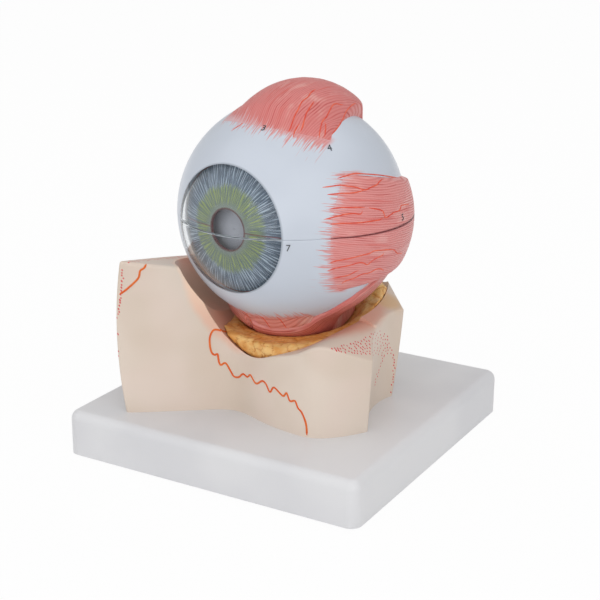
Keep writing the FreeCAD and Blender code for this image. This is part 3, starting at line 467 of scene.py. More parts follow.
# %% Sclera finish
def muscle_place(tree, place, side):
    """A place in the eye's frame, turned into the frame of one straight muscle."""
    if side == "nose":
        place = mapped(tree, place, Scale=(-1, 1, 1))
    if side == "below":
        place = mapped(tree, place, Scale=(1, 1, -1))
    if side in ("temple", "nose"):
        place = mapped(tree, place, "TEXTURE", Rotation=TO_TEMPLE.to_euler())
    return place


def build_sclera_coat():
    made, tree = finish("sclera painted white", paint(199, 206, 217), 0.3)
    place = eye_place(tree)
    skin = use(tree, MOULDED_SKIN, Place=place, Wave_Size=45.0, Peel_Size=2.4)
    colour = toned(tree, skin["Tone"], paint(196, 203, 214), paint(201, 208, 219))
    across, back, up = parts(tree, place)
    rim = ease(tree, far(tree, across, up), LIMBUS_RING + 1.1, LIMBUS_RING + 0.1)
    colour = layer(tree, colour, times(tree, rim, ease(tree, back, -30.0, -40.0)), 0.7, 140, 150, 162)
    outer_skin = ease(tree, vector(tree, "LENGTH", place), GLOBE - 2.4, GLOBE - 1.6)
    for side, muscle in (("above", UPPER_MUSCLE), ("below", LOWER_MUSCLE), ("temple", SIDE_MUSCLE),
                         ("nose", SIDE_MUSCLE)):
        local = muscle_place(tree, place, side)
        over_it = ease(tree, parts(tree, local)[2], 22.0, 30.0)
        strands = times(tree, brush_front(tree, local, muscle)["Brush"], over_it)
        fibre = use(tree, FIBRES, Place=local, Pitch=1.3)
        red = layer(tree, paint(218, 134, 128), less(tree, 1.0, fibre["Groove"]), 0.4, 190, 84, 80)
        colour = blend(tree, times(tree, times(tree, strands, outer_skin), 0.85), colour, red)
    return dress(made, colour, skin["Peel"], 0.012, skin["Dull"], 0.28, 0.33)


SCLERA_COAT = build_sclera_coat()
print("sclera finish:", SCLERA_COAT.name)

# %% [markdown]
# ## From a drawing to a finished piece
# Every new piece ends the same way. Doubles are merged, the faces are turned outwards, the drawing is taken
# to its place, the object is told which body it rides on, and the solids of the frame that it stands for are
# hidden.
# Edges sharper than an angle stay crisp, and all others shade smoothly.

# %% Finish of a piece
def placed(name, data):
    """A new object in the scene."""
    made = bpy.data.objects.new(name, data)
    bpy.context.scene.collection.objects.link(made)
    return made


def to_mesh(bm, name):
    """A bmesh written to a mesh and freed."""
    mesh = bpy.data.meshes.new(name)
    bm.to_mesh(mesh)
    bm.free()
    return mesh


def made_piece(bm, name, body, slot_name, material, *stands_for, place=EYE_PLACE, crisp=38.0):
    """Closes a bmesh into an object in its place, which rides on its body."""
    bmesh.ops.transform(bm, matrix=place, verts=bm.verts)
    bmesh.ops.remove_doubles(bm, verts=bm.verts, dist=1e-6)
    bmesh.ops.recalc_face_normals(bm, faces=bm.faces)
    mesh = to_mesh(bm, name)
    for polygon in mesh.polygons:
        polygon.use_smooth = True
    mesh.set_sharp_from_angle(angle=math.radians(crisp))
    made = placed(name, mesh)
    mesh.materials.append(material)
    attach(made, body)
    if stands_for:
        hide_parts(*stands_for)
    print(name, len(mesh.polygons), "faces")
    return made


# %% [markdown]
# ## Half shells
# The sclera, the cornea and the iris are each a thin wall turned about the optical axis, and the model
# opens on a level seam, so each is half a turn. A wall outline is drawn once beside the axis and spun
# through 180 degrees; the spin leaves its two flat end faces on the seam. Cutting a whole sphere in two
# would give the same shape, but its rings would not run round the axis. A fine bevel along the seam makes
# the parting line catch the light as it does between two mouldings.

# %% Half a turn of a wall
def half_turn(outline, upper, turns=96, seam_bevel=0.28):
    """Spins a wall outline of (sideways, forward) points through the upper or lower half turn."""
    bm = bmesh.new()
    wall = bm.faces.new([bm.verts.new((sideways, -forward, 0)) for sideways, forward in outline])
    start = [wall] + list(wall.edges) + list(wall.verts)
    axis = (0, -1 if upper else 1, 0)
    bmesh.ops.spin(bm, geom=start, cent=(0, 0, 0), axis=axis, angle=math.pi, steps=turns)
    bmesh.ops.remove_doubles(bm, verts=bm.verts, dist=0.002)
    bmesh.ops.recalc_face_normals(bm, faces=bm.faces)
    seam = [edge for edge in bm.edges if is_seam(edge)]
    bmesh.ops.bevel(bm, geom=seam, offset=seam_bevel, segments=2, profile=0.5, affect="EDGES", material=-1)
    return bm


def is_seam(edge):
    """True for the sharp rim of a flat seam face, away from the axis."""
    first, second = edge.verts
    level = abs(first.co.z) < 1e-4 and abs(second.co.z) < 1e-4
    clear_of_axis = min(abs(first.co.x), abs(second.co.x)) > 1.0
    return level and clear_of_axis and edge.calc_face_angle(0) > math.radians(60)


def meridian(inset, start, stop, count):
    """Points down one side of the globe, an inset inside its skin, between two angles from the front pole."""
    points = []
    for index in range(count + 1):
        turn = start + (stop - start) * index / count
        pole = GLOBE_FRONT if math.cos(turn) > 0 else GLOBE_REAR
        points.append(((GLOBE - inset) * math.sin(turn), (pole - inset) * math.cos(turn)))
    return points


def ring_turn(inset, ring):
    """Angle from the front pole at which the globe, an inset inside its skin, has a given radius."""
    return math.asin(ring / (GLOBE - inset))


# %% Sclera halves
SCLERA_WALL = 4.0
# Each half's name, whether it is the upper one, its outer body and its inner body.
HALVES = (("lower", False, "eyeball", "choroid_base"), ("upper", True, "sclera_lid", "choroid_lid"))


def sclera_outline():
    outside = meridian(0.0, ring_turn(0.0, LIMBUS_RING), math.pi, 64)
    inside = meridian(SCLERA_WALL, math.pi, ring_turn(SCLERA_WALL, LIMBUS_RING), 48)
    return outside + inside


SCLERA_SHELLS = {}
for half, upper, body, _ in HALVES:
    SCLERA_SHELLS[half] = made_piece(half_turn(sclera_outline(), upper), "sclera_shell_" + half, body,
                                     "sclera_white", SCLERA_COAT, "sclera_" + half)


# %% [markdown]
# ## Clear plastic
# The cornea, the vitreous body and the lens are clear acrylic. Light from the lamps is bent by such pieces
# in ways that take long to compute and leave what is behind them black, so rays from lamps pass straight
# through: the shader is mixed with a transparent one for shadow rays only. What the eye sees still bends.

# %% Clear finishes
def clear(name, tint, roughness, ior, wave, clearness=1.0):
    """Clear acrylic with a trace of waviness, which lets the lamps' light through."""
    made, tree = finish(name, tint, roughness, Transmission_Weight=clearness, IOR=ior)
    skin = use(tree, MOULDED_SKIN, Place=eye_place(tree), Wave_Size=wave, Peel_Size=9.0)
    dress(made, None, skin["Tone"], 0.05, skin["Dull"], roughness, roughness + 0.03)
    from_lamps = node(tree, "LightPath", {}).outputs["Is Shadow Ray"]
    show_mixed(tree, from_lamps, node(tree, "BsdfTransparent", {"Color": tint}))
    return made


CORNEA_CLEAR = clear("cornea clear acrylic", paint(244, 247, 249), 0.02, 1.3, 30.0)
SAWN_EDGE = moulded("sawn acrylic edge", paint(214, 220, 226), paint(190, 198, 206), 0.5, eye_place, wave=4.0)
give(clear("vitreous clear acrylic", paint(246, 249, 250), 0.03, 1.2, 50.0), "vitreous_body")
give(clear("lens clear acrylic", paint(238, 238, 246), 0.02, 1.42, 20.0, clearness=0.68), "lens")

# %% [markdown]
# ## Cornea
# The cornea is a clear dome, a ball of smaller radius than the globe, so it bulges out of the white. Two
# arcs with a wall between them are spun like the sclera.

# %% Cornea halves
CORNEA_CURVE, CORNEA_WALL = 50.7, 2.5
SAWN_DEPTH = 0.17             # faces this close to the seam are the sawn edge
CORNEA_CENTRE = LIMBUS - math.sqrt(CORNEA_CURVE ** 2 - LIMBUS_RING ** 2)


def dome_arc(radius, count):
    """Points of a dome from its rim at the limbus ring to its crown on the axis."""
    rim = math.asin(LIMBUS_RING / radius)
    turns = [rim * (1 - index / count) for index in range(count + 1)]
    return [(radius * math.sin(turn), CORNEA_CENTRE + radius * math.cos(turn)) for turn in turns]


for half, upper, body, _ in HALVES:
    outline = dome_arc(CORNEA_CURVE, 28) + dome_arc(CORNEA_CURVE - CORNEA_WALL, 24)[::-1]
    dome = made_piece(half_turn(outline, upper, seam_bevel=0.14), "cornea_dome_" + half, body, "cornea_clear",
                      CORNEA_CLEAR, "cornea_" + half)
    dome.data.materials.append(SAWN_EDGE)
    for polygon in dome.data.polygons:
        if abs(polygon.center.z - EYE_CENTRE.z) < SAWN_DEPTH * MM:
            polygon.material_index = 1


# %% [markdown]
# ## Iris
# The iris is a thin domed ring with the pupil in its middle. Its front isn't smooth: fine ridges run in
# from the rim, and a low collar stands where they change colour. The ring is spun with fine steps and its
# front is then lifted point by point with noise that changes quickly round the ring and slowly along it.

# %% Iris paint
IRIS_RIM, PUPIL = 33.2, 10.7


def build_rays():
    """Shared group: streaks that run out from the optical axis, and the distance from it."""
    tree, given, result = group("rays round the axis", ["Ray", "Bar", "Ring"], Place=None, Count=30.0,
                                Length=8.0, Seed=0.0, Bars=90.0)
    flat = vector(tree, "MULTIPLY", given["Place"], (1, 0, 1))
    ring = vector(tree, "LENGTH", flat)
    unit = vector(tree, "NORMALIZE", flat)
    outwards = plus(tree, sums(tree, "DIVIDE", ring, given["Length"]), given["Seed"])
    spot = vector(tree, "ADD", vector(tree, "MULTIPLY", unit, given["Count"]),
                  node(tree, "CombineXYZ", {1: outwards}).outputs[0])
    across, _, up = parts(tree, unit)
    turn = times(tree, sums(tree, "ARCTAN2", across, up), given["Bars"])
    slow = grain(tree, vector(tree, "MULTIPLY", spot, (0.22, 0.22, 0.22)), 1.0, 0.0)
    bar = sums(tree, "SINE", plus(tree, turn, times(tree, slow, 16.0)))
    fill(tree, result, {"Ray": grain(tree, spot, 1.0, 2.0), "Bar": ease(tree, bar, -0.2, 0.7), "Ring": ring})
    return tree


RAYS = build_rays()


def build_iris_coat():
    made, tree = finish("iris painted", paint(126, 140, 150), 0.52)
    place = eye_place(tree)
    broad = use(tree, RAYS, Place=place, Count=6.0, Length=20.0)
    ring = plus(tree, broad["Ring"], times(tree, less(tree, broad["Ray"], 0.5), 7.0))
    colour = steps(tree, sums(tree, "DIVIDE", broad["Ring"], IRIS_RIM),
                   (0.33, paint(92, 50, 50)), (0.36, paint(124, 134, 124)), (0.46, paint(106, 119, 101)),
                   (0.64, paint(105, 120, 100)), (0.72, paint(92, 106, 120)), (0.90, paint(88, 102, 118)),
                   (1.0, paint(84, 96, 108)))
    outer = ease(tree, ring, 20.5, 24.0)
    inner = times(tree, ease(tree, ring, 24.0, 21.5), ease(tree, ring, 12.5, 15.5))
    for where, share, count, length, seed, bars, least, tint in (
            (inner, 0.6, 44.0, 7.0, 3.0, 110.0, 0.42, (84, 100, 120)),
            (inner, 0.85, 24.0, 8.0, 8.0, 74.0, 0.34, (148, 160, 84)),
            (outer, 0.75, 40.0, 9.0, 15.0, 120.0, 0.42, (58, 74, 90)),
            (outer, 0.85, 44.0, 9.0, 21.0, 132.0, 0.42, (178, 190, 202))):
        rays = use(tree, RAYS, Place=place, Count=count, Length=length, Seed=seed, Bars=bars)
        picked = times(tree, ease(tree, rays["Ray"], least, least + 0.14), rays["Bar"])
        colour = layer(tree, colour, times(tree, picked, where), share, *tint)
    # Painted shade: a thin dark red line along the seam, where the two halves meet.
    level = sums(tree, "ABSOLUTE", parts(tree, place)[2])
    colour = layer(tree, colour, ease(tree, level, 0.4, 0.15), 0.8, 112, 44, 48)
    return dress(made, colour, use(tree, RAYS, Place=place, Count=34.0, Length=9.0)["Ray"], 0.05)


IRIS_COAT = build_iris_coat()
print("iris finish:", IRIS_COAT.name)

# %% Iris halves
COLLAR = 21.5


def ridge(point):
    """How far the iris's front stands up at a point, from its fibres and its collar."""
    ring = math.hypot(point.x, point.z)
    round_it = Vector((point.x, 0, point.z)).normalized()
    fibres = noise.noise(Vector((round_it.x * 34, ring * 0.16, round_it.z * 34)))
    fine = noise.noise(Vector((round_it.x * 80, ring * 0.3, round_it.z * 80)))
    wander = 1.6 * noise.noise(Vector((round_it.x * 7, 3.0, round_it.z * 7)))
    collar = math.exp(-((ring - COLLAR - wander) / 1.3) ** 2)
    room = min(1.0, (ring - PUPIL) / 2.0, (IRIS_RIM - ring) / 2.0)
    return max(0.0, room) * (0.24 * fibres + 0.04 * fine + 0.28 * collar - 0.1)


def build_iris(upper):
    front = arc_through((IRIS_RIM, LIMBUS - 4.6), (22.0, LIMBUS - 0.6), (PUPIL, LIMBUS + 1.4), 34)
    back = arc_through((PUPIL, LIMBUS - 0.2), (22.0, LIMBUS - 2.2), (30.8, LIMBUS - 6.4), 10)
    bm = half_turn(front + back + [(IRIS_RIM, LIMBUS - 6.4)], upper, turns=300, seam_bevel=0.15)
    for vertex in bm.verts:
        if -vertex.normal.y > 0.6:
            vertex.co.y -= ridge(vertex.co)
    return bm


for half, upper, _, body in HALVES:
    made_piece(build_iris(upper), "iris_ring_" + half, body, "iris_blue", IRIS_COAT, "iris_" + half,
               crisp=60)


# %% [markdown]
# ## Muscles
# A muscle stump is thick where it is cut off and thins out to nothing where it is inserted in the white.
# Its outer face is a patch of a barrel. A grid is laid over the muscle's outline, lifted onto the barrel,
# and lowered a little along its sides for a soft edge; a second copy of the grid lies just under the
# globe's skin, and the two rims are bridged. Cutting a barrel with booleans gives the same block, but a
# grid has rows that run along the muscle, and the fibres can then be raised as real ridges.

# %% Height of a muscle over the globe
MUSCLE_CORNER = 11.0
MUSCLE_EDGE = 2.4
GLOBE_DEPTH = 1.6             # how far the hidden underside lies under the globe's skin
FIBRE_LIFT = 0.12


def muscle_spot(muscle, across, along):
    """A point of the outline's inside as (sideways, forward); across and along run from 0 to 1."""
    front_a, front_mid, front_b, rear_b, rear_a = muscle["outline"]
    arch = arc_through(front_a, front_mid, front_b, 40)
    front = arch[0] if across <= 0 else arch[-1]
    for first, second in zip(arch, arch[1:]):
        wanted = front_a[0] + (front_b[0] - front_a[0]) * across
        if first[0] <= wanted <= second[0]:
            share = (wanted - first[0]) / (second[0] - first[0])
            front = (wanted, first[1] + share * (second[1] - first[1]))
    rear_x = rear_a[0] + (rear_b[0] - rear_a[0]) * across
    inset = min(rear_x - rear_a[0], rear_b[0] - rear_x)
    short = max(0.0, MUSCLE_CORNER - inset)
    corner = MUSCLE_CORNER - math.sqrt(max(0.0, MUSCLE_CORNER ** 2 - short ** 2))
    rear = (rear_x, rear_a[1] + corner)
    return (front[0] + (rear[0] - front[0]) * along, front[1] + (rear[1] - front[1]) * along)


def barrel_height(muscle, sideways, forward):
    """Height of the barrel's skin over the eye's centre."""
    crown = math.sqrt(max(0.0, muscle["crown"] ** 2 - (sideways - muscle["middle"]) ** 2))
    ring = muscle["girth"] - muscle["crown"] + crown
    return muscle["rise"] + math.sqrt(ring ** 2 - (-forward - muscle["back"]) ** 2)


CROSSING_NORMAL = Vector((0.295, -0.903, 0.314)).normalized()
CROSSING_FRONT, CROSSING_WIDTH, CROSSING_START = 6.5, 25.0, -9.0
CROSSING_DIP = 1.4            # the lower rectus lies this much deeper under the oblique


def under_crossing(sideways, forward, height):
    """How far a point of the lower rectus is lowered to let the oblique cross it."""
    spot = Vector((sideways, -forward, -height))
    front = CROSSING_FRONT - CROSSING_NORMAL.dot(spot)
    inside = min(front, CROSSING_WIDTH - front, sideways - CROSSING_START)
    return CROSSING_DIP * max(0.0, min(1.0, inside / 0.5 + 1.0))


def globe_height(sideways, forward, inset):
    """Height of the globe's skin, an inset inside it."""
    pole = (GLOBE_FRONT if forward > 0 else GLOBE_REAR) - inset
    share = 1 - (sideways / (GLOBE - inset)) ** 2 - (forward / pole) ** 2
    return (GLOBE - inset) * math.sqrt(share)


def fibre_height(sideways, forward, seed):
    """Relief of the muscle fibres: quick across, slow along."""
    broad = noise.noise(Vector((sideways * 0.55, forward * 0.035, seed)))
    fine = noise.noise(Vector((sideways * 1.5, forward * 0.07, seed + 9)))
    return FIBRE_LIFT * (broad + 0.6 * fine)


FRONT_RAMP, SIDE_RAMP = 8.0, 2.2
MUSCLE_GRID = (150, 64)
THIN_LAYER = 0.9              # a muscle's least thickness over the white


def thin_out(distance, reach):
    """Share of the full thickness at a distance from an edge that runs out flat."""
    share = max(0.0, min(1.0, distance / reach))
    return share * share * (3 - 2 * share)


def two_skins(grid, place):
    """A closed slab between two grids of (columns, rows).

    Place is a function. It takes two shares from 0 to 1 and whether the outer skin is meant, and it gives a
    point and its spot on the UV map.
    """
    bm = bmesh.new()
    uv_layer = bm.loops.layers.uv.new("along the fibres")
    flat = {}
    for outer in (True, False):
        for vertex in bmesh.ops.create_grid(bm, x_segments=grid[0], y_segments=grid[1], size=0.5)["verts"]:
            vertex.co, flat[vertex] = place(vertex.co.x + 0.5, vertex.co.y + 0.5, outer)
    for face in bm.faces:
        for loop in face.loops:
            loop[uv_layer].uv = flat[loop.vert]
    bmesh.ops.bridge_loops(bm, edges=[edge for edge in bm.edges if edge.is_boundary])
    bmesh.ops.recalc_face_normals(bm, faces=bm.faces)
    return bm


def muscle_block(muscle, seed=1.0, crossed=False):
    """The whole muscle in its own frame, with its fibres, before it is turned into place."""
    front_a, front_mid, front_b, rear_b, _ = muscle["outline"]
    width, length = front_b[0] - front_a[0], front_mid[1] - rear_b[1]

    def outer_height(sideways, forward, from_side, from_front):
        edge = min(from_side, length - from_front)
        short = max(0.0, MUSCLE_EDGE - edge)
        rounding = MUSCLE_EDGE - math.sqrt(MUSCLE_EDGE ** 2 - short ** 2)
        skin = globe_height(sideways, forward, 0.0)
        lift = max(THIN_LAYER, barrel_height(muscle, sideways, forward) - skin) - rounding
        slope = thin_out(from_front, FRONT_RAMP) * thin_out(from_side + 0.6, SIDE_RAMP)
        fibres = min(1.0, edge / MUSCLE_EDGE) * slope * fibre_height(sideways, forward, seed)
        return skin + slope * lift + 0.05 + fibres

    def place(across, rearwards, outer):
        along = 1 - rearwards
        sideways, forward = muscle_spot(muscle, across, along)
        height = under = globe_height(sideways, forward, GLOBE_DEPTH)
        if outer:
            height = outer_height(sideways, forward, min(across, 1 - across) * width, along * length)
            if crossed:
                height -= under_crossing(sideways, forward, height)
            height = max(under + 0.2, height)
        return Vector((sideways, -forward, height)), (sideways / UV_UNIT, -forward / UV_UNIT)

    return two_skins(MUSCLE_GRID, place)


SEAM_GROOVE = 0.35            # depth and half width of the groove where a muscle is parted


def keep_half(bm, upper):
    """Cuts a closed piece at the seam's level, keeps one side and slants its rim for the seam's groove."""
    for level in (SEAM_GROOVE, -SEAM_GROOVE, 0.0):
        everything = list(bm.verts) + list(bm.edges) + list(bm.faces)
        ends = {"clear_inner": upper, "clear_outer": not upper} if level == 0.0 else {}
        cut = bmesh.ops.bisect_plane(bm, geom=everything, plane_co=(0, 0, level), plane_no=(0, 0, 1), **ends)
    rim = [item for item in cut["geom_cut"] if isinstance(item, bmesh.types.BMEdge)]
    for vertex in {vertex for edge in rim for vertex in edge.verts}:
        outwards = math.hypot(vertex.co.x, vertex.co.y)
        if outwards > GLOBE + 0.3:
            vertex.co.xy *= 1 - SEAM_GROOVE / outwards
    bmesh.ops.triangle_fill(bm, use_beauty=True, edges=rim)
    return bm


# %% The straight muscles
UPPER_STUMP = made_piece(muscle_block(UPPER_MUSCLE), "superior_rectus_stump", "sclera_lid", "muscle_red",
                         UPPER_RED, "superior_rectus")
lower_block = muscle_block(LOWER_MUSCLE, seed=4.0, crossed=True)
bmesh.ops.transform(lower_block, matrix=DOWNWARDS, verts=lower_block.verts)
LOWER_STUMP = made_piece(lower_block, "inferior_rectus_stump", "eyeball", "muscle_red", MUSCLE_DEEP,
                         "inferior_rectus")
SIDE_STUMPS = {}
for side, turn in SIDES:
    for half, upper, body, _ in HALVES:
        block = muscle_block(SIDE_MUSCLE, seed=7.0)
        bmesh.ops.transform(block, matrix=turn, verts=block.verts)
        SIDE_STUMPS[side, half] = made_piece(keep_half(block, upper), side + "_rectus_stump_" + half, body,
                                             "muscle_red", SIDE_RED, side + "_rectus_" + half)


# %% [markdown]
# ## Lower oblique
# The lower oblique is a flat band that crosses under the lower rectus and climbs round the globe to the
# temple side. It lies on whatever is below it, so a grid of looks from outside towards the eye's centre
# first measures how high the white and the rectus stand. Those heights are smoothed along the band, as a
# stretched band bridges a step, and the band is laid on them with rounded edges.

# %% Copy of a solid, and its smooth skin
def solid_copy(name):
    """A merged bmesh of one of the frame's solids, in metres over the stand."""
    bm = bmesh.new()
    bm.from_mesh(NODES[name].data)
    bmesh.ops.remove_doubles(bm, verts=bm.verts, dist=1e-6)
    return bm


def skin_of(*pieces):
    """The joined surface of some pieces, ready to drop points on."""
    bm = bmesh.new()
    for piece in pieces:
        bm.from_mesh(piece.data)
    tree = BVHTree.FromBMesh(bm)
    bm.free()
    return tree


def drop(skin, start, direction):
    """Where a straight look from a start first meets the skin, with the skin's normal there."""
    place, normal, *_ = skin.ray_cast(start, direction)
    return None if place is None else (place, normal)


FAR_OUT = 120.0               # a distance from the eye's centre that clears everything, in mm
UPPER_SKIN = skin_of(SCLERA_SHELLS["upper"], UPPER_STUMP)
LOWER_SKIN = skin_of(SCLERA_SHELLS["lower"], LOWER_STUMP)

# %% The band
BAND_START, BAND_END = -96.0, -8.0
BAND_EDGE = [(-100, 6.5), (-72, 6.5), (-58, 9.3), (-46, 10.3), (-38, 8.6), (-30, 5.2), (-20, 1.4),
             (-6, -1.0)]      # degrees round the crossing's normal, front edge along it in mm
BAND_THICK, BAND_ROUND, BAND_DEPTH = 2.0, 2.4, 0.8
BAND_GRID = (140, 30)
BAND_SMOOTHINGS, BAND_SINK = 60, 0.4   # how often a height is smoothed, and the most it sinks each time
BAND_SIDE = (Vector((1, 0, 0)) - CROSSING_NORMAL * CROSSING_NORMAL.x).normalized()
BAND_DOWN = CROSSING_NORMAL.cross(BAND_SIDE)


def band_front(turn):
    """How far the band's front edge lies along the crossing's normal, at a turn round it in degrees."""
    for (low, first), (high, second) in zip(BAND_EDGE, BAND_EDGE[1:]):
        if low <= turn <= high:
            share = (turn - low) / (high - low)
            return first + (second - first) * share * share * (3 - 2 * share)


def band_direction(turn, offset):
    """Direction from the eye's centre to a spot of the band."""
    angle = math.radians(turn)
    ring = math.sqrt(GLOBE ** 2 - offset ** 2)
    outwards = BAND_SIDE * math.cos(angle) + BAND_DOWN * math.sin(angle)
    return (CROSSING_NORMAL * offset + outwards * ring) / GLOBE


def height_below(direction):
    """How far from the eye's centre the white or the rectus lies in a direction."""
    start = EYE_PLACE @ (direction * FAR_OUT)
    place, _ = drop(LOWER_SKIN, start, (EYE_CENTRE - start).normalized())
    return (place - EYE_CENTRE).length / MM


def build_oblique_band():
    columns, rows = BAND_GRID
    directions, heights = [], []
    for column in range(columns + 1):
        turn = BAND_START + (BAND_END - BAND_START) * column / columns
        front = band_front(turn)
        line = [band_direction(turn, front - CROSSING_WIDTH * row / rows) for row in range(rows + 1)]
        directions.append(line)
        heights.append([height_below(direction) for direction in line])
    for _ in range(BAND_SMOOTHINGS):
        neighbours = zip(heights[:1] + heights, heights, heights[1:] + heights[-1:])
        heights = [[max(middle - BAND_SINK, (before + middle + after) / 3)
                    for before, middle, after in zip(*three)] for three in neighbours]

    def place(column_share, row_share, outer):
        column, row = round(column_share * columns), round(row_share * rows)
        across = CROSSING_WIDTH * row / rows
        along = math.radians(BAND_END - BAND_START) * GLOBE * column / columns
        short = max(0.0, 1 - min(across, CROSSING_WIDTH - across, along) / BAND_ROUND)
        thickness = (BAND_THICK + 0.7 * fibre_height(across, along, 11.0)) * math.sqrt(1 - short * short)
        height = heights[column][row] + (thickness if outer else -BAND_DEPTH)
        return directions[column][row] * height, (across / UV_UNIT, along / UV_UNIT)

    return two_skins(BAND_GRID, place)


made_piece(build_oblique_band(), "inferior_oblique_band", "eyeball", "muscle_red", OBLIQUE_RED,
           "inferior_oblique")


# %% [markdown]
# ## Orbital fat
# Orbital fat is a bed of soft lobes with deep creases between them. The solid of the frame has the right
# roll, but no creases. A copy is remeshed evenly, smoothed and drawn in to a round roll, and each point is
# then pushed in by creases that cross the roll every centimetre and by fine wrinkles along it. The depth of
# the crease is stored on the point, so painted shade can darken the paint exactly where the shape is pushed
# in.

# %% Fat lobes
FAT_VOXEL, FAT_SMOOTHINGS = 0.8, 50
SPLIT_GAP, SPLIT_RADIUS = 10.5, 66.0
CREASE_DEPTH = 0.7
ROLL_ROUND = 5.0
# Degrees from the temple side, distance of the roll's outside from the upright line through the eye's centre.
ROLL_WIDTH = [(-180, 41), (-150, 44), (-120, 43), (-90, 45.5), (-60, 47), (-30, 47), (0, 54), (30, 57.5),
              (60, 62), (120, 62), (150, 46), (180, 41)]


def evenly_meshed(bm, voxel):
    """The same closed piece as an even mesh of small quads."""
    holder = placed("even mesh", to_mesh(bm, "even mesh"))
    remesh = holder.modifiers.new("even", "REMESH")
    remesh.mode, remesh.voxel_size = "VOXEL", voxel * MM
    result = bmesh.new()
    result.from_object(holder, bpy.context.evaluated_depsgraph_get())
    bpy.data.objects.remove(holder)
    return result


def crease_at(spot):
    """How deep a crease is at a spot of the fat, from 0 to 1; the spot is in mm from the eye's centre."""
    turn = math.atan2(spot.y, spot.x)
    along = turn * SPLIT_RADIUS
    place = along / SPLIT_GAP + 0.5 * noise.noise(Vector((along * 0.08, spot.z * 0.25, spot.length * 0.2)))
    nearest = round(place)
    strength = 0.75 + 0.8 * noise.noise(Vector((nearest * 3.7, 1.5, spot.z * 0.12)))
    split = math.exp(-((place - nearest) * SPLIT_GAP / 0.42) ** 2) * max(0.0, min(1.0, strength))
    wrinkle = 0.0
    for size, seed, share in ((0.16, 5.0, 0.75), (0.3, 9.0, 0.4)):
        wave = noise.noise(Vector((along * 0.05, spot.xy.length * size, spot.z * size + seed)))
        wrinkle = max(wrinkle, share * math.exp(-(wave / 0.035) ** 2))
    return max(split, wrinkle)


def rolled(spot):
    """A spot of the fat, drawn in to a round roll that hugs the eyeball, clear of the bone's rim."""
    turn = math.degrees(math.atan2(spot.y, spot.x))
    for (low, first), (high, second) in zip(ROLL_WIDTH, ROLL_WIDTH[1:]):
        if low <= turn <= high:
            limit = first + (second - first) * (turn - low) / (high - low)
    ring = spot.xy.length
    past = max(0.0, min(ROLL_ROUND, ring - limit + ROLL_ROUND))
    fall = (ROLL_ROUND - math.sqrt(ROLL_ROUND ** 2 - past ** 2)) * max(0.0, min(1.0, (spot.z + 80) / 16))
    drawn_in = min(1.0, (limit + 0.15 * max(0.0, ring - limit)) / max(ring, 1e-6))
    return Vector((spot.x * drawn_in, spot.y * drawn_in, spot.z - fall))


def build_fat():
    bm = evenly_meshed(solid_copy("orbital_fat"), FAT_VOXEL)
    for _ in range(FAT_SMOOTHINGS):
        bmesh.ops.smooth_vert(bm, verts=bm.verts, factor=0.5, use_axis_x=True, use_axis_y=True,
                              use_axis_z=True)
    crease_layer = bm.verts.layers.float.new("crease")
    bm.normal_update()
    for vertex in bm.verts:
        spot = (vertex.co - EYE_CENTRE) / MM
        crease = crease_at(spot)
        swell = 0.22 * noise.noise(spot * 0.22) + 0.1 * noise.noise(spot * 0.6)
        if vertex.normal.z < 0.1:
            swell = min(swell, 0.0)
        vertex[crease_layer] = crease
        vertex.co = EYE_CENTRE + (rolled(spot) + vertex.normal * (swell - CREASE_DEPTH * crease)) * MM
    return bm


def build_fat_coat():
    made, tree = finish("fat painted yellow", paint(228, 172, 104), 0.38)
    place = stand_place(tree)
    crease = node(tree, "Attribute", {}, attribute_name="crease", attribute_type="GEOMETRY").outputs["Fac"]
    colour = toned(tree, grain(tree, place, 0.16), paint(228, 166, 88), paint(238, 192, 120), 0.38, 0.62)
    colour = layer(tree, colour, ease(tree, grain(tree, place, 0.2), 0.54, 0.7), 0.5, 220, 142, 52)
    colour = layer(tree, colour, ease(tree, grain(tree, place, 0.4, 2.0), 0.56, 0.74), 0.35, 242, 204, 146)
    # Painted shade: the creases are painted a darker orange where the shape is pushed in.
    colour = layer(tree, colour, ease(tree, crease, 0.12, 0.8), 0.75, 192, 118, 48)
    return dress(made, colour, grain(tree, place, 0.9, 2.0), 0.08)


made_piece(build_fat(), "orbital_fat_lobes", "stand", "fat_yellow", build_fat_coat(), "orbital_fat",
           place=IN_PLACE, crisp=180)


# %% [markdown]
# ## Bone finish
# The bone block is painted in a warm cream. The socket's inner wall is browner, and it fades into the cream
# where the wall rolls over the rim; towards the bottom and on the temple side the wall is painted darker, as
# painted shade in the hollow under the eyeball. The wall is part of a ball round the eye, so the distance
# from the eye's centre tells wall from rim, and the ball is allowed to grow towards its bottom, where the
# hollow is wider. A copy with painted vertices would need a finer mesh to show such a soft edge.

# %% Bone paint
SOCKET_RIM = 69.6             # distance from the eye's centre to the rim of the socket
SOCKET_SPREAD = 0.29          # how much that distance grows for each mm of depth
SOCKET_SPREAD_FROM = 30.0     # the depth below the eye's centre at which it starts to grow
# Painted shade: a browner patch on the temple side stands in for the shaded groove of the inferior orbital
# fissure.
FISSURE_SHADE_AT = (46.0, 26.0, 79.0)  # a browner patch on the temple side


def round_spot(tree, place, centre, inner, outer):
    """1 within an inner distance of a spot, 0 past the outer one."""
    return ease(tree, vector(tree, "DISTANCE", place, centre), outer, inner)


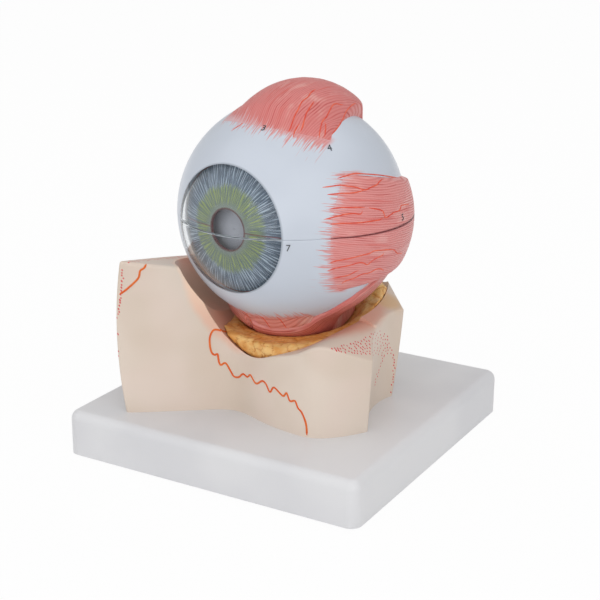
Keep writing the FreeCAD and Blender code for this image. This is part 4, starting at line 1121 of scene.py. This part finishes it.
def build_bone_coat():
    made, tree = finish("bone painted cream", paint(216, 202, 188), 0.5)
    place = stand_place(tree)
    skin = use(tree, MOULDED_SKIN, Place=place, Wave_Size=55.0, Peel_Size=1.6)
    colour = toned(tree, skin["Tone"], paint(216, 199, 183), paint(223, 208, 194), 0.38, 0.62)
    colour = layer(tree, colour, ease(tree, grain(tree, place, 0.03, 1.0), 0.5, 0.7), 0.25, 228, 206, 196)
    inwards = vector(tree, "SUBTRACT", place, EYE_CENTRE / MM)
    across, _, up = parts(tree, inwards)
    below = sums(tree, "MAXIMUM", less(tree, times(tree, up, -1.0), SOCKET_SPREAD_FROM), 0.0)
    rim = plus(tree, SOCKET_RIM, times(tree, below, SOCKET_SPREAD))
    ragged = times(tree, less(tree, grain(tree, place, 0.12, 2.0), 0.5), 2.4)
    past = plus(tree, less(tree, vector(tree, "LENGTH", inwards), rim), ragged)
    to_temple = ease(tree, across, 20.0, 45.0)
    soft = plus(tree, 2.0, times(tree, to_temple, 1.5))
    in_socket = ease(tree, sums(tree, "DIVIDE", past, soft), 1.0, -1.0)
    # Painted shade: the wall is painted darker towards the bottom and on the temple side, in the hollow under
    # the eyeball.
    wall = blend(tree, ease(tree, below, 4.0, 34.0), paint(244, 208, 182), paint(226, 180, 157))
    wall = blend(tree, to_temple, wall, paint(214, 160, 138))
    colour = blend(tree, times(tree, in_socket, 0.92), colour, wall)
    # Painted shade: the browner patch where the groove of the inferior orbital fissure would lie in shade.
    colour = layer(tree, colour, round_spot(tree, place, FISSURE_SHADE_AT, 5.0, 12.0), 0.8, 214, 176, 128)
    return dress(made, colour, skin["Peel"], 0.03, skin["Dull"], 0.48, 0.62)


give(build_bone_coat(), "orbit_bone")

# %% [markdown]
# ## Painted lines
# Vessels and sutures are drawn with a fine brush and stand a hair's breadth proud. Each line is drawn with
# a few points, smoothed into short steps, and every step is dropped onto the surface below it. A thin tube
# then follows the steps, three quarters sunk, with thinner ends. Painting the lines in a material would
# need a picture of them.

# %% Lines that lie on a surface
def smooth_steps(points, gap):
    """Steps about a gap apart on a smooth line through the given points."""
    ends = [points[0] * 2 - points[1], *points, points[-1] * 2 - points[-2]]
    line = []
    for before, first, second, after in zip(ends, ends[1:], ends[2:], ends[3:]):
        count = max(1, round((second - first).length / gap))
        for index in range(count):
            t = index / count
            bend = 2 * before - 5 * first + 4 * second - after
            line.append((2 * first + (second - before) * t + bend * t ** 2
                         + (3 * first - before - 3 * second + after) * t ** 3) / 2)
    return line + [points[-1]]


def meshed(data):
    """A curve or a text as a bmesh."""
    holder = bpy.data.objects.new(data.name, data)
    bm = bmesh.new()
    bm.from_mesh(bpy.data.meshes.new_from_object(holder))
    bpy.data.objects.remove(holder)
    return bm


LINE_SINK = 0.25              # how deep a line's middle lies, as a share of its width


def lines(name, routes, width, body, slot_name, material):
    """Thin raised lines; each route is a list of (place, normal) on a surface."""
    data = bpy.data.curves.new(name, "CURVE")
    data.dimensions = "3D"
    data.bevel_depth, data.bevel_resolution, data.use_fill_caps = width / 2 * MM, 1, True
    for route in routes:
        route = [step for step in route if step]
        if len(route) < 3:
            continue
        line = data.splines.new("POLY")
        line.points.add(len(route) - 1)
        for index, (point, (place, normal)) in enumerate(zip(line.points, route)):
            point.co = (*(place - normal * LINE_SINK * width * MM), 1)
            point.radius = min(1.0, 0.4 + 0.2 * min(index, len(route) - 1 - index))
    return made_piece(meshed(data), name, body, slot_name, material, place=IN_PLACE)


def line_paint(name, thick, thin, place, size=4.0):
    """Brush paint that is thicker in some places and thinner in others."""
    return moulded(name, thick, thin, 0.34, place, wave=size, peel=0.8)


VESSEL_RED = line_paint("vessel red", paint(214, 66, 44), paint(228, 100, 68), eye_place)
SUTURE_ORANGE = line_paint("suture orange", paint(218, 88, 12), paint(224, 108, 30), stand_place, 7.0)
CUT_RED = line_paint("cut bone red", paint(206, 34, 48), paint(216, 76, 82), stand_place, 3.0)

# %% Vessels on the upper and the side muscles
# Each line is drawn in the muscle's own frame as (sideways, forward).
UPPER_VESSELS = [
    [(21, 30), (20, 25.5), (19.3, 20), (17.7, 14), (17.6, 9), (16.5, 4.7), (15.8, -1)],
    [(24.6, 31), (22.8, 26), (23.1, 22)],
    [(25.5, 26), (24.8, 23), (22.8, 17), (22.3, 14), (20.8, 7)],
    [(33.8, 21), (31.1, 16), (29, 11.4), (28.6, 7.6), (28, 5.2), (26, -2.6), (26.9, -7.2), (27, -9.8)],
    [(35.5, 18.5), (32.2, 13), (30.3, 11), (28.9, 10.5)],
    [(36.1, 13.5), (33.9, 4), (29.8, -7.7), (25.4, -24)],
    [(-6, 32), (-8, 35), (-11, 38)], [(-3, 33), (-5, 37)],
]
SIDE_VESSELS_UPPER = [
    [(-29.5, 29), (-32, 20), (-32.3, 14), (-31.2, -0.5), (-28.4, -19)],
    [(-21.7, 35.7), (-23, 28), (-23.7, 22), (-25.2, 16.2)],
    [(-24.8, 37), (-26.5, 29), (-26.6, 25), (-26.2, 20), (-25.2, 16.2), (-26.7, 11.6), (-27.7, 8),
     (-29.5, 4.3), (-29.8, -1.3)],
    [(-15, 35.6), (-16.2, 29), (-16.8, 23.5), (-17.1, 17.3)],
    [(-9.5, 38.4), (-11.1, 33.5), (-12.7, 29.4), (-13.8, 24.7), (-13.7, 21), (-15.4, 19.8), (-16.6, 20.2)],
    [(-17.1, 17), (-15.9, 9.2), (-14.8, 7.3), (-12.5, 6.6), (-12, 5.3), (-14.1, -0.3), (-14.8, -6),
     (-16.7, -8.1), (-17.1, -10.2), (-16.5, -20)],
    [(-7.3, 35.6), (-8.3, 31), (-9.6, 20.7), (-10.4, 15), (-11, 10), (-12.1, 7.2)],
]
SIDE_VESSELS_LOWER = [
    [(13.2, 31.7), (11.3, 28.6), (7.7, 18.6), (6.4, 13.4), (5.1, 10.6), (5.4, -2.8), (8.4, -9.7),
     (9.4, -17.3)],
    [(17.4, 31.4), (15.7, 27.8), (12, 19), (11.8, 15.6), (12.8, 12.5), (10.2, 9.8), (7.6, 4.2), (5.2, 4.5)],
    [(21.9, 27.2), (19.8, 21.2), (17.1, 18), (15.8, 15.3)],
    [(25.8, 19.7), (22.9, 19.3), (20.8, 16), (18.5, 12.8), (18.1, 9.2), (16, 5), (16.2, 0.8), (18.2, -3.3)],
]
LOWER_VESSELS = [
    [(4, 38), (5, 32), (7, 24), (6, 16)],
    [(-8, 37), (-6, 31), (-7, 24)],
    [(16, 34), (15, 28), (17, 20)],
]
VESSEL_WIDE, VESSEL_FINE = 0.9, 0.7


def drawn_on(skin, turn, drawings):
    """Routes on a skin from drawings in a muscle's own frame, seen from straight above the muscle."""
    place = EYE_PLACE @ turn
    inwards = (place @ Vector((0, 0, -1)) - place.translation).normalized()
    routes = []
    for drawing in drawings:
        starts = smooth_steps([Vector((sideways, -forward, FAR_OUT)) for sideways, forward in drawing], 1.0)
        routes.append([drop(skin, place @ start, inwards) for start in starts])
    return routes


lines("upper_rectus_vessels", drawn_on(UPPER_SKIN, UPWARDS, UPPER_VESSELS), VESSEL_WIDE, "sclera_lid",
      "muscle_red", VESSEL_RED)
lines("lower_rectus_vessels", drawn_on(LOWER_SKIN, DOWNWARDS, LOWER_VESSELS), VESSEL_FINE, "eyeball",
      "muscle_red", VESSEL_RED)
for side, turn in SIDES:
    for half, body, drawings in (("upper", "sclera_lid", SIDE_VESSELS_UPPER),
                                 ("lower", "eyeball", SIDE_VESSELS_LOWER)):
        skin = skin_of(SCLERA_SHELLS[half], SIDE_STUMPS[side, half])
        lines(side + "_rectus_vessels_" + half, drawn_on(skin, turn, drawings), VESSEL_WIDE, body,
              "muscle_red", VESSEL_RED)


# %% [markdown]
# ## Inside the eye: choroid, ciliary ring and retina
# The choroid is dark red with a net of veins on its outside. The distance to the edges of Voronoi cells
# draws such a net, once the place is bent by noise. The ciliary ring is brown with streaks towards the
# lens. The retina is orange with a pale disc where the nerve leaves and a darker spot beside it, and a tree
# of vessels spreads from the disc; the tree is drawn in degrees to the temple and up, and its lines are
# raised like the others.

# %% Choroid and ciliary finishes
def vein_net(tree, place, cell, width):
    """1 on the edges of irregular cells, 0 between them."""
    bend = node(tree, "TexNoise", {"Vector": place, "Scale": 0.06, "Detail": 2.0}).outputs[1]
    bent = vector(tree, "MULTIPLY_ADD", bend, (16, 16, 16), place)
    edges = node(tree, "TexVoronoi", {"Vector": bent, "Scale": 1 / cell}, feature="DISTANCE_TO_EDGE")
    return ease(tree, edges.outputs["Distance"], width / cell, 0.3 * width / cell)


def build_choroid_coat():
    made, tree = finish("choroid painted red", paint(150, 56, 44), 0.42)
    place = eye_place(tree)
    skin = use(tree, MOULDED_SKIN, Place=place, Wave_Size=14.0, Peel_Size=1.5)
    colour = toned(tree, skin["Tone"], paint(140, 48, 40), paint(164, 66, 50))
    thick, thin = vein_net(tree, place, 12.0, 1.0), vein_net(tree, place, 5.0, 0.5)
    colour = layer(tree, colour, thin, 0.5, 190, 92, 66)
    colour = layer(tree, colour, thick, 0.8, 88, 26, 36)
    return dress(made, colour, sums(tree, "MAXIMUM", thick, times(tree, thin, 0.5)), 0.15)


def build_ciliary_coat():
    made, tree = finish("ciliary ring brown", paint(112, 62, 48), 0.45)
    rays = use(tree, RAYS, Place=eye_place(tree), Count=22.0, Length=6.0, Seed=5.0, Bars=90.0)
    colour = blend(tree, rays["Ray"], paint(70, 34, 28), paint(140, 84, 62))
    colour = layer(tree, colour, rays["Bar"], 0.35, 58, 28, 26)
    return dress(made, colour, rays["Ray"], 0.2)


give(build_choroid_coat(), "choroid_upper", "choroid_lower")
give(build_ciliary_coat(), "ciliary_body_upper", "ciliary_body_lower")

# %% Retina finish
NERVE_LEAN = 14.0             # degrees to the nose from the optical axis
RETINA_INSIDE = 52.4


def inwards_spot(to_temple, up):
    """Direction from the eye's centre to the back of the eye, in degrees to the temple and up."""
    across, rise = math.radians(to_temple), math.radians(up)
    return Vector((math.sin(across) * math.cos(rise), math.cos(across) * math.cos(rise), math.sin(rise)))


def build_retina_coat():
    made, tree = finish("retina painted orange", paint(222, 136, 92), 0.4)
    place = eye_place(tree)
    disc, spot = inwards_spot(-NERVE_LEAN, 0) * RETINA_INSIDE, inwards_spot(4, -1) * RETINA_INSIDE
    colour = blend(tree, grain(tree, place, 0.07), paint(206, 112, 70), paint(234, 156, 112))
    colour = blend(tree, ease(tree, grain(tree, place, 0.9), 0.5, 0.75), colour, paint(212, 104, 62))
    colour = layer(tree, colour, round_spot(tree, place, spot, 1.0, 6.0), 0.75, 150, 58, 34)
    colour = blend(tree, round_spot(tree, place, disc, 4.0, 4.8), colour, paint(244, 214, 150))
    colour = layer(tree, colour, round_spot(tree, place, disc, 1.2, 2.2), 0.7, 250, 234, 200)
    return dress(made, colour, grain(tree, place, 1.2), 0.05)


give(build_retina_coat(), "retina_upper", "retina_lower")

# %% Retina vessels
RETINA_TREE = [
    [(-14, 1.5), (-12, 8), (-4, 17), (8, 24), (22, 29), (38, 33), (56, 36)],
    [(-4, 17), (6, 14), (16, 15), (26, 19)], [(8, 24), (14, 33), (24, 42), (32, 52)],
    [(-14.5, 1.5), (-19, 8), (-28, 16), (-40, 24), (-54, 31)], [(-28, 16), (-40, 14), (-52, 12)],
    [(-19, 8), (-20, 20), (-24, 32), (-26, 46)], [(-12, 8), (-8, 20), (-4, 34), (2, 48)],
    [(-14, 1.5), (-24, 5), (-36, 6), (-48, 5)], [(22, 29), (34, 26), (46, 25)],
]
ARTERY_RED = line_paint("artery red", paint(196, 44, 34), paint(212, 72, 56), eye_place)
VEIN_DARK = line_paint("vein dark red", paint(128, 30, 44), paint(150, 46, 58), eye_place)


def tree_routes(skin, sign, shift, squeeze):
    """The vessel tree dropped outwards onto the retina; sign -1 draws it downwards."""
    routes = []
    for drawing in RETINA_TREE:
        steps_drawn = smooth_steps([Vector((to_temple + shift * min(1.0, up / 8), up * squeeze))
                                    for to_temple, up in drawing], 1.6)
        route = []
        for step in steps_drawn:
            bend = noise.noise(Vector((step.x * 0.14, step.y * 0.14, shift + 5 * sign)))
            spot = inwards_spot(step.x + 1.6 * bend, sign * max(1.2, step.y + 1.2 * bend))
            route.append(drop(skin, EYE_CENTRE, (EYE_PLACE @ spot - EYE_CENTRE).normalized()))
        routes.append(route)
    return routes


for half, sign, body in (("upper", 1, "choroid_lid"), ("lower", -1, "choroid_base")):
    retina_skin = skin_of(NODES["retina_" + half])
    lines("retina_arteries_" + half, tree_routes(retina_skin, sign, 0.0, 1.0), VESSEL_FINE, body,
          "retina_orange", ARTERY_RED)
    lines("retina_veins_" + half, tree_routes(retina_skin, sign, 2.6, 0.9), VESSEL_WIDE, body,
          "retina_orange", VEIN_DARK)


# %% [markdown]
# ## Nerve, sheath and metal pins
# The optic nerve is a bundle of fibres: its cut end shows many small round bundles and the two vessels in
# its middle, and its sides and its sheath show lines along it. A turned place, whose Y runs along the
# nerve, serves all of these. Pins and screws are turned steel, with fine rings left by the tool.

# %% Nerve and sheath finishes
def nerve_place(tree):
    """Place in the nerve's own frame: Y along it, X and Z across it."""
    return mapped(tree, eye_place(tree), Rotation=(0, 0, -math.radians(NERVE_LEAN)))


def round_the_nerve(tree):
    """The same place unrolled: X round the nerve in millimetres, Y along it."""
    across, along, up = parts(tree, nerve_place(tree))
    turn = times(tree, sums(tree, "ARCTAN2", up, across), 9.0)
    return node(tree, "CombineXYZ", {0: turn, 1: along}).outputs[0]


def build_nerve_coat():
    made, tree = finish("nerve painted yellow", paint(230, 208, 136), 0.42)
    place = nerve_place(tree)
    across = mapped(tree, place, Scale=(1, 0.05, 1))
    edges = node(tree, "TexVoronoi", {"Vector": across, "Scale": 0.75}, feature="DISTANCE_TO_EDGE")
    bundle = ease(tree, edges.outputs["Distance"], 0.04, 0.22)
    colour = blend(tree, bundle, paint(196, 150, 84), paint(240, 222, 158))
    middle = mapped(tree, place, Scale=(1, 0, 1))
    colour = blend(tree, round_spot(tree, middle, (0.9, 0, 0), 0.7, 0.9), colour, paint(190, 40, 36))
    colour = blend(tree, round_spot(tree, middle, (-0.9, 0, 0), 0.7, 0.9), colour, paint(70, 76, 140))
    return dress(made, colour, bundle, 0.15)


give(build_nerve_coat(), "optic_nerve_upper", "optic_nerve_lower")
give(muscle_coat("sheath painted pale", (226, 218, 204), (186, 160, 140), (238, 232, 222), (214, 186, 168),
                 round_the_nerve, 1.8, 0.22, 0.1, seed=5.0), "optic_sheath_upper", "optic_sheath_lower")


# %% Turned steel
def turned(name, light, dark, roughness):
    """Steel with the fine rings that a turning tool leaves along an upright pin."""
    made, tree = finish(name, light, roughness, Metallic=1.0)
    place = stand_place(tree)
    rings = grain(tree, mapped(tree, place, Scale=(0.05, 0.05, 3.0)), 1.0, 2.0)
    dull = ease(tree, grain(tree, place, 0.8), 0.5, 0.75)
    return dress(made, blend(tree, rings, dark, light), rings, 0.02, dull, roughness, roughness + 0.16)


give(turned("pin turned steel", paint(204, 204, 206), paint(160, 160, 164), 0.24), "sclera_dowels",
     "choroid_dowels", "eyeball_peg")
give(turned("screw turned steel", paint(196, 196, 198), paint(150, 150, 154), 0.3), "orbit_screws")

# %% [markdown]
# ## Number marks
# Small printed numbers tell the learner which muscle is which. Plain numbers stand in for any legend. Each
# is a text object made a mesh, laid along the surface, with its face a fifth of a millimetre proud.

# %% Numbers on the eyeball
NUMBER_HEIGHT, NUMBER_HEIGHT_ABOVE = 5.0, 5.4
NUMBER_LIFT, NUMBER_THICK = 0.12, 0.1
NUMBER_INK = moulded("number ink", paint(58, 60, 66), paint(72, 74, 80), 0.5, eye_place, wave=2.0, peel=0.5)


def number_mark(name, number, height, skin, turn, spot, body):
    """A raised number on a skin, at a spot (sideways, forward) of a muscle's own frame."""
    data = bpy.data.curves.new(name, "FONT")
    data.body, data.size = str(number), height * MM
    data.align_x = data.align_y = "CENTER"
    place, normal = drawn_on(skin, turn, [[spot, (spot[0], spot[1] + 0.5)]])[0][0]
    facing = normal.to_track_quat("Z", "Y").to_matrix()
    upright = facing.transposed() @ Vector((0, 0, 1))
    tilt = math.atan2(upright.y, upright.x) - math.pi / 2
    bm = meshed(data)
    turned_up = facing.to_4x4() @ Matrix.Rotation(tilt, 4, "Z")
    bmesh.ops.transform(bm, matrix=Matrix.Translation(place) @ turned_up, verts=bm.verts)
    bmesh.ops.triangulate(bm, faces=bm.faces)
    for vertex in bm.verts:
        nearest, *_ = skin.find_nearest(vertex.co)
        vertex.co = nearest + normal * NUMBER_LIFT * MM
    raised = bmesh.ops.extrude_face_region(bm, geom=bm.faces)["geom"]
    front = [item for item in raised if isinstance(item, bmesh.types.BMVert)]
    bmesh.ops.translate(bm, vec=normal * NUMBER_THICK * MM, verts=front)
    return made_piece(bm, name, body, "pin_steel", NUMBER_INK, place=IN_PLACE)


number_mark("number_upper_rectus", 3, NUMBER_HEIGHT_ABOVE, UPPER_SKIN, UPWARDS, (8.0, 33.5), "sclera_lid")
number_mark("number_upper_oblique", 4, NUMBER_HEIGHT_ABOVE, UPPER_SKIN, UPWARDS, (39.5, 19.5), "sclera_lid")
for (side, turn), number in zip(SIDES, (5, 6)):
    stump_skin = skin_of(SIDE_STUMPS[side, "upper"])
    number_mark("number_" + side + "_rectus", number, NUMBER_HEIGHT, stump_skin, turn, (-11.0, -9.0),
                "sclera_lid")
number_mark("number_limbus", 7, NUMBER_HEIGHT, LOWER_SKIN, TO_TEMPLE, (7.0, 49.0), "eyeball")

# %% [markdown]
# ## Camera
# The camera looks down on the model past its front corner on the temple side, through a long lens. It is made
# before the marks on the bone, because they are drawn as it sees them.

# %% Camera
LENS_FOCUS = 83.25
CAMERA_AT = Vector((370.5, -635.0, 326.5)) * MM
CAMERA_YAW, CAMERA_PITCH, CAMERA_ROLL = [math.radians(angle) for angle in (29.89, -18.546, 0.392)]


def build_camera():
    camera = placed("camera", bpy.data.cameras.new("camera"))
    camera.data.lens = LENS_FOCUS
    camera.data.sensor_width = 36.0
    camera.data.clip_end = 20.0
    aim = Matrix.Rotation(CAMERA_YAW, 4, "Z") @ Matrix.Rotation(math.pi / 2 + CAMERA_PITCH, 4, "X")
    camera.matrix_world = Matrix.Translation(CAMERA_AT) @ aim @ Matrix.Rotation(CAMERA_ROLL, 4, "Z")
    bpy.context.scene.camera = camera


build_camera()
bpy.context.view_layer.update()

# %% [markdown]
# ## Sutures and cut marks on the bone
# The joints between the bones of the face are drawn in orange, and the places where the bone was sawn show
# short red strokes. Both are drawn as they are seen from the front corner, in the frame of 600 by 600
# points that the camera sees, and looked through onto the block, so they lie on the bone from every side.

# %% Sutures
FRAME_POINTS = 600.0
SUTURE_WIDE = 1.55
CHEEK_SUTURE = [(236, 334), (223, 331), (214, 330), (210, 337), (210, 346), (212, 353), (215, 355),
                (217.5, 354), (219, 362), (221, 365), (225.5, 363), (230, 370), (234, 376.5), (239, 377),
                (243, 374), (247.5, 377), (250.5, 375), (256, 383.5), (262, 381), (266, 384), (270, 392),
                (274, 387.5), (283, 396), (286.5, 393), (290, 401), (295, 401), (298, 408), (302, 413),
                (306, 424), (307, 436.5)]
NOSE_SUTURE = [(118.5, 295), (127, 289), (138, 278.5), (140, 271), (144, 268), (147, 263)]


def looked_through(skin, point):
    """Where the look through one point of the frame meets a skin."""
    camera = bpy.context.scene.camera
    half = camera.data.sensor_width / 2 / camera.data.lens
    across, up = 2 * point[0] / FRAME_POINTS - 1, 1 - 2 * point[1] / FRAME_POINTS
    look = camera.matrix_world.to_3x3() @ Vector((across * half, up * half, -1.0))
    return drop(skin, camera.matrix_world.translation, look.normalized())


def seen_route(skin, points):
    """Where a line drawn in the frame lies on a skin."""
    return [looked_through(skin, step) for step in smooth_steps([Vector(point) for point in points], 1.2)]


BONE_SKIN = skin_of(NODES["orbit_bone"])
lines("bone_sutures", [seen_route(BONE_SKIN, CHEEK_SUTURE), seen_route(BONE_SKIN, NOSE_SUTURE)],
      SUTURE_WIDE, "stand", "bone_cream", SUTURE_ORANGE)


# %% Cut marks
CUT_TOP = [(330, 348), (345, 344.5), (358, 340.5), (371, 334), (380, 330.5), (388, 336)]
CUT_BOTTOM = [(331, 350), (345, 352.5), (358, 354), (370, 355), (384, 356), (393, 353)]
CUT_SEAMS = [[(384, 356), (380, 366), (377, 376), (374.5, 386)],
             [(393.5, 353), (394.5, 365), (393, 380), (391, 396)]]
NOSE_CUT = [[(122, 268), (122.5, 280), (120.5, 292), (119.5, 306), (118, 318)],
            [(117, 334), (117, 345), (118, 356)]]
CREST_CUT = [(128, 261.5), (150, 259.5), (183, 256.5)]
FAN_TRIES, SEAM_TRIES, CREST_TRIES = 1300, 90, 300
STROKES_APART, CREST_STROKES_APART = 2.3, 1.8
STROKE_HALF = (0.76, 0.46, 0.12)       # half a stroke's length, width and thickness in mm
LONGEST_STROKE = 5.0          # a stroke that would be longer falls over an edge and is left out


def on_line(points, share):
    """The point at a share of the way along a line of points."""
    place = share * (len(points) - 1)
    index = min(int(place), len(points) - 2)
    return Vector(points[index]).lerp(Vector(points[index + 1]), place - index)


def spread_out(spots, least, lean):
    """The spots that keep a least distance from those before them, each with the way its stroke leans."""
    kept = []
    for spot in spots:
        if all((spot - other).length > least for other in kept):
            kept.append(spot)
    return [(spot, lean) for spot in kept]


def build_cut_marks():
    """Short flat strokes, each a few faces, lying on the bone."""
    chance = random.Random(7)
    leaning, level = Vector((0.7, 1.1)), Vector((1.3, -0.1))
    fan = []
    for _ in range(FAN_TRIES):
        share, height = chance.random() ** 0.7, chance.random()
        fan.append(on_line(CUT_TOP, share).lerp(on_line(CUT_BOTTOM, share), height))
    spots = spread_out(fan, STROKES_APART, leaning)
    for seam in CUT_SEAMS + NOSE_CUT:
        spots += spread_out([on_line(seam, chance.random()) + Vector((chance.uniform(-1, 1), 0))
                             for _ in range(SEAM_TRIES)], STROKES_APART, leaning)
    spots += spread_out([on_line(CREST_CUT, chance.random()) + Vector((0, chance.uniform(-0.5, 1.1)))
                         for _ in range(CREST_TRIES)], CREST_STROKES_APART, level)
    bm = bmesh.new()
    for spot, lean in spots:
        first, second = looked_through(BONE_SKIN, spot), looked_through(BONE_SKIN, spot + lean)
        if not first or not second or (first[0] - second[0]).length > LONGEST_STROKE * MM:
            continue
        place, normal = first
        along = (second[0] - place).normalized()
        across = normal.cross(along).normalized()
        turn = Matrix((along, across, normal)).transposed().to_4x4()
        length, width, thickness = [half * MM for half in STROKE_HALF]
        shape = Matrix.Diagonal((length * chance.uniform(0.7, 1.25), width, thickness, 1))
        stroke = bmesh.ops.create_icosphere(bm, subdivisions=1, radius=1.0)["verts"]
        bmesh.ops.transform(bm, matrix=Matrix.Translation(place) @ turn @ shape, verts=stroke)
    return bm


made_piece(build_cut_marks(), "bone_cut_marks", "stand", "bone_cream", CUT_RED, place=IN_PLACE)

# %% [markdown]
# ## Studio
# The model stands on a plain white floor under large soft lamps. A floor that is lit to pure white would
# burn out the pale plastic too, so the floor's own colour stays at a normal level, and only what the camera
# sees of it directly is mixed with plain white. Glossy and clear surfaces see that same white. The floor
# still darkens where the stand shades it.

# %% Floor
FLOOR_WHITE = 0.96


def build_floor():
    bm = bmesh.new()
    bmesh.ops.create_grid(bm, x_segments=1, y_segments=1, size=6.0)
    floor = placed("floor", to_mesh(bm, "floor"))
    made, tree = finish("floor white", paint(238, 238, 238), 0.7)
    path = node(tree, "LightPath", {}).outputs
    seen = sums(tree, "MAXIMUM", path["Is Camera Ray"], path["Is Glossy Ray"])
    seen = sums(tree, "MAXIMUM", seen, path["Is Transmission Ray"])
    white = node(tree, "Emission", {"Color": (1, 1, 1, 1), "Strength": 1.0})
    show_mixed(tree, times(tree, seen, FLOOR_WHITE), white)
    floor.data.materials.append(made)


build_floor()

# %% Lamps and world
ROOM_LIGHT = 0.56


def area_lamp(name, place, size, power):
    """A square soft lamp that looks at the eyeball."""
    data = bpy.data.lights.new(name, "AREA")
    data.size, data.energy = size, power
    lamp = placed(name, data)
    lamp.location = place
    lamp.rotation_euler = (EYE_CENTRE - Vector(place)).to_track_quat("-Z", "Y").to_euler()


area_lamp("key lamp", (-0.65, -0.85, 1.25), 2.4, 7.2)
area_lamp("fill lamp", (1.3, -0.8, 0.9), 1.5, 6.3)
area_lamp("front lamp", (0.4, -1.5, 0.4), 1.0, 3.8)
area_lamp("top lamp", (0.2, 0.3, 1.6), 1.5, 3.2)


def build_world():
    world = bpy.data.worlds.new("studio")
    bpy.context.scene.world = world
    world.use_nodes = True
    tree = world.node_tree
    path = node(tree, "LightPath", {}).outputs
    seen = sums(tree, "MAXIMUM", path["Is Camera Ray"], path["Is Transmission Ray"])
    fill(tree, tree.nodes["Background"], {0: (1, 1, 1, 1), 1: ramp(tree, seen, 0.0, 1.0, ROOM_LIGHT, 1.0)})


build_world()
bpy.context.scene.view_settings.view_transform = "Standard"
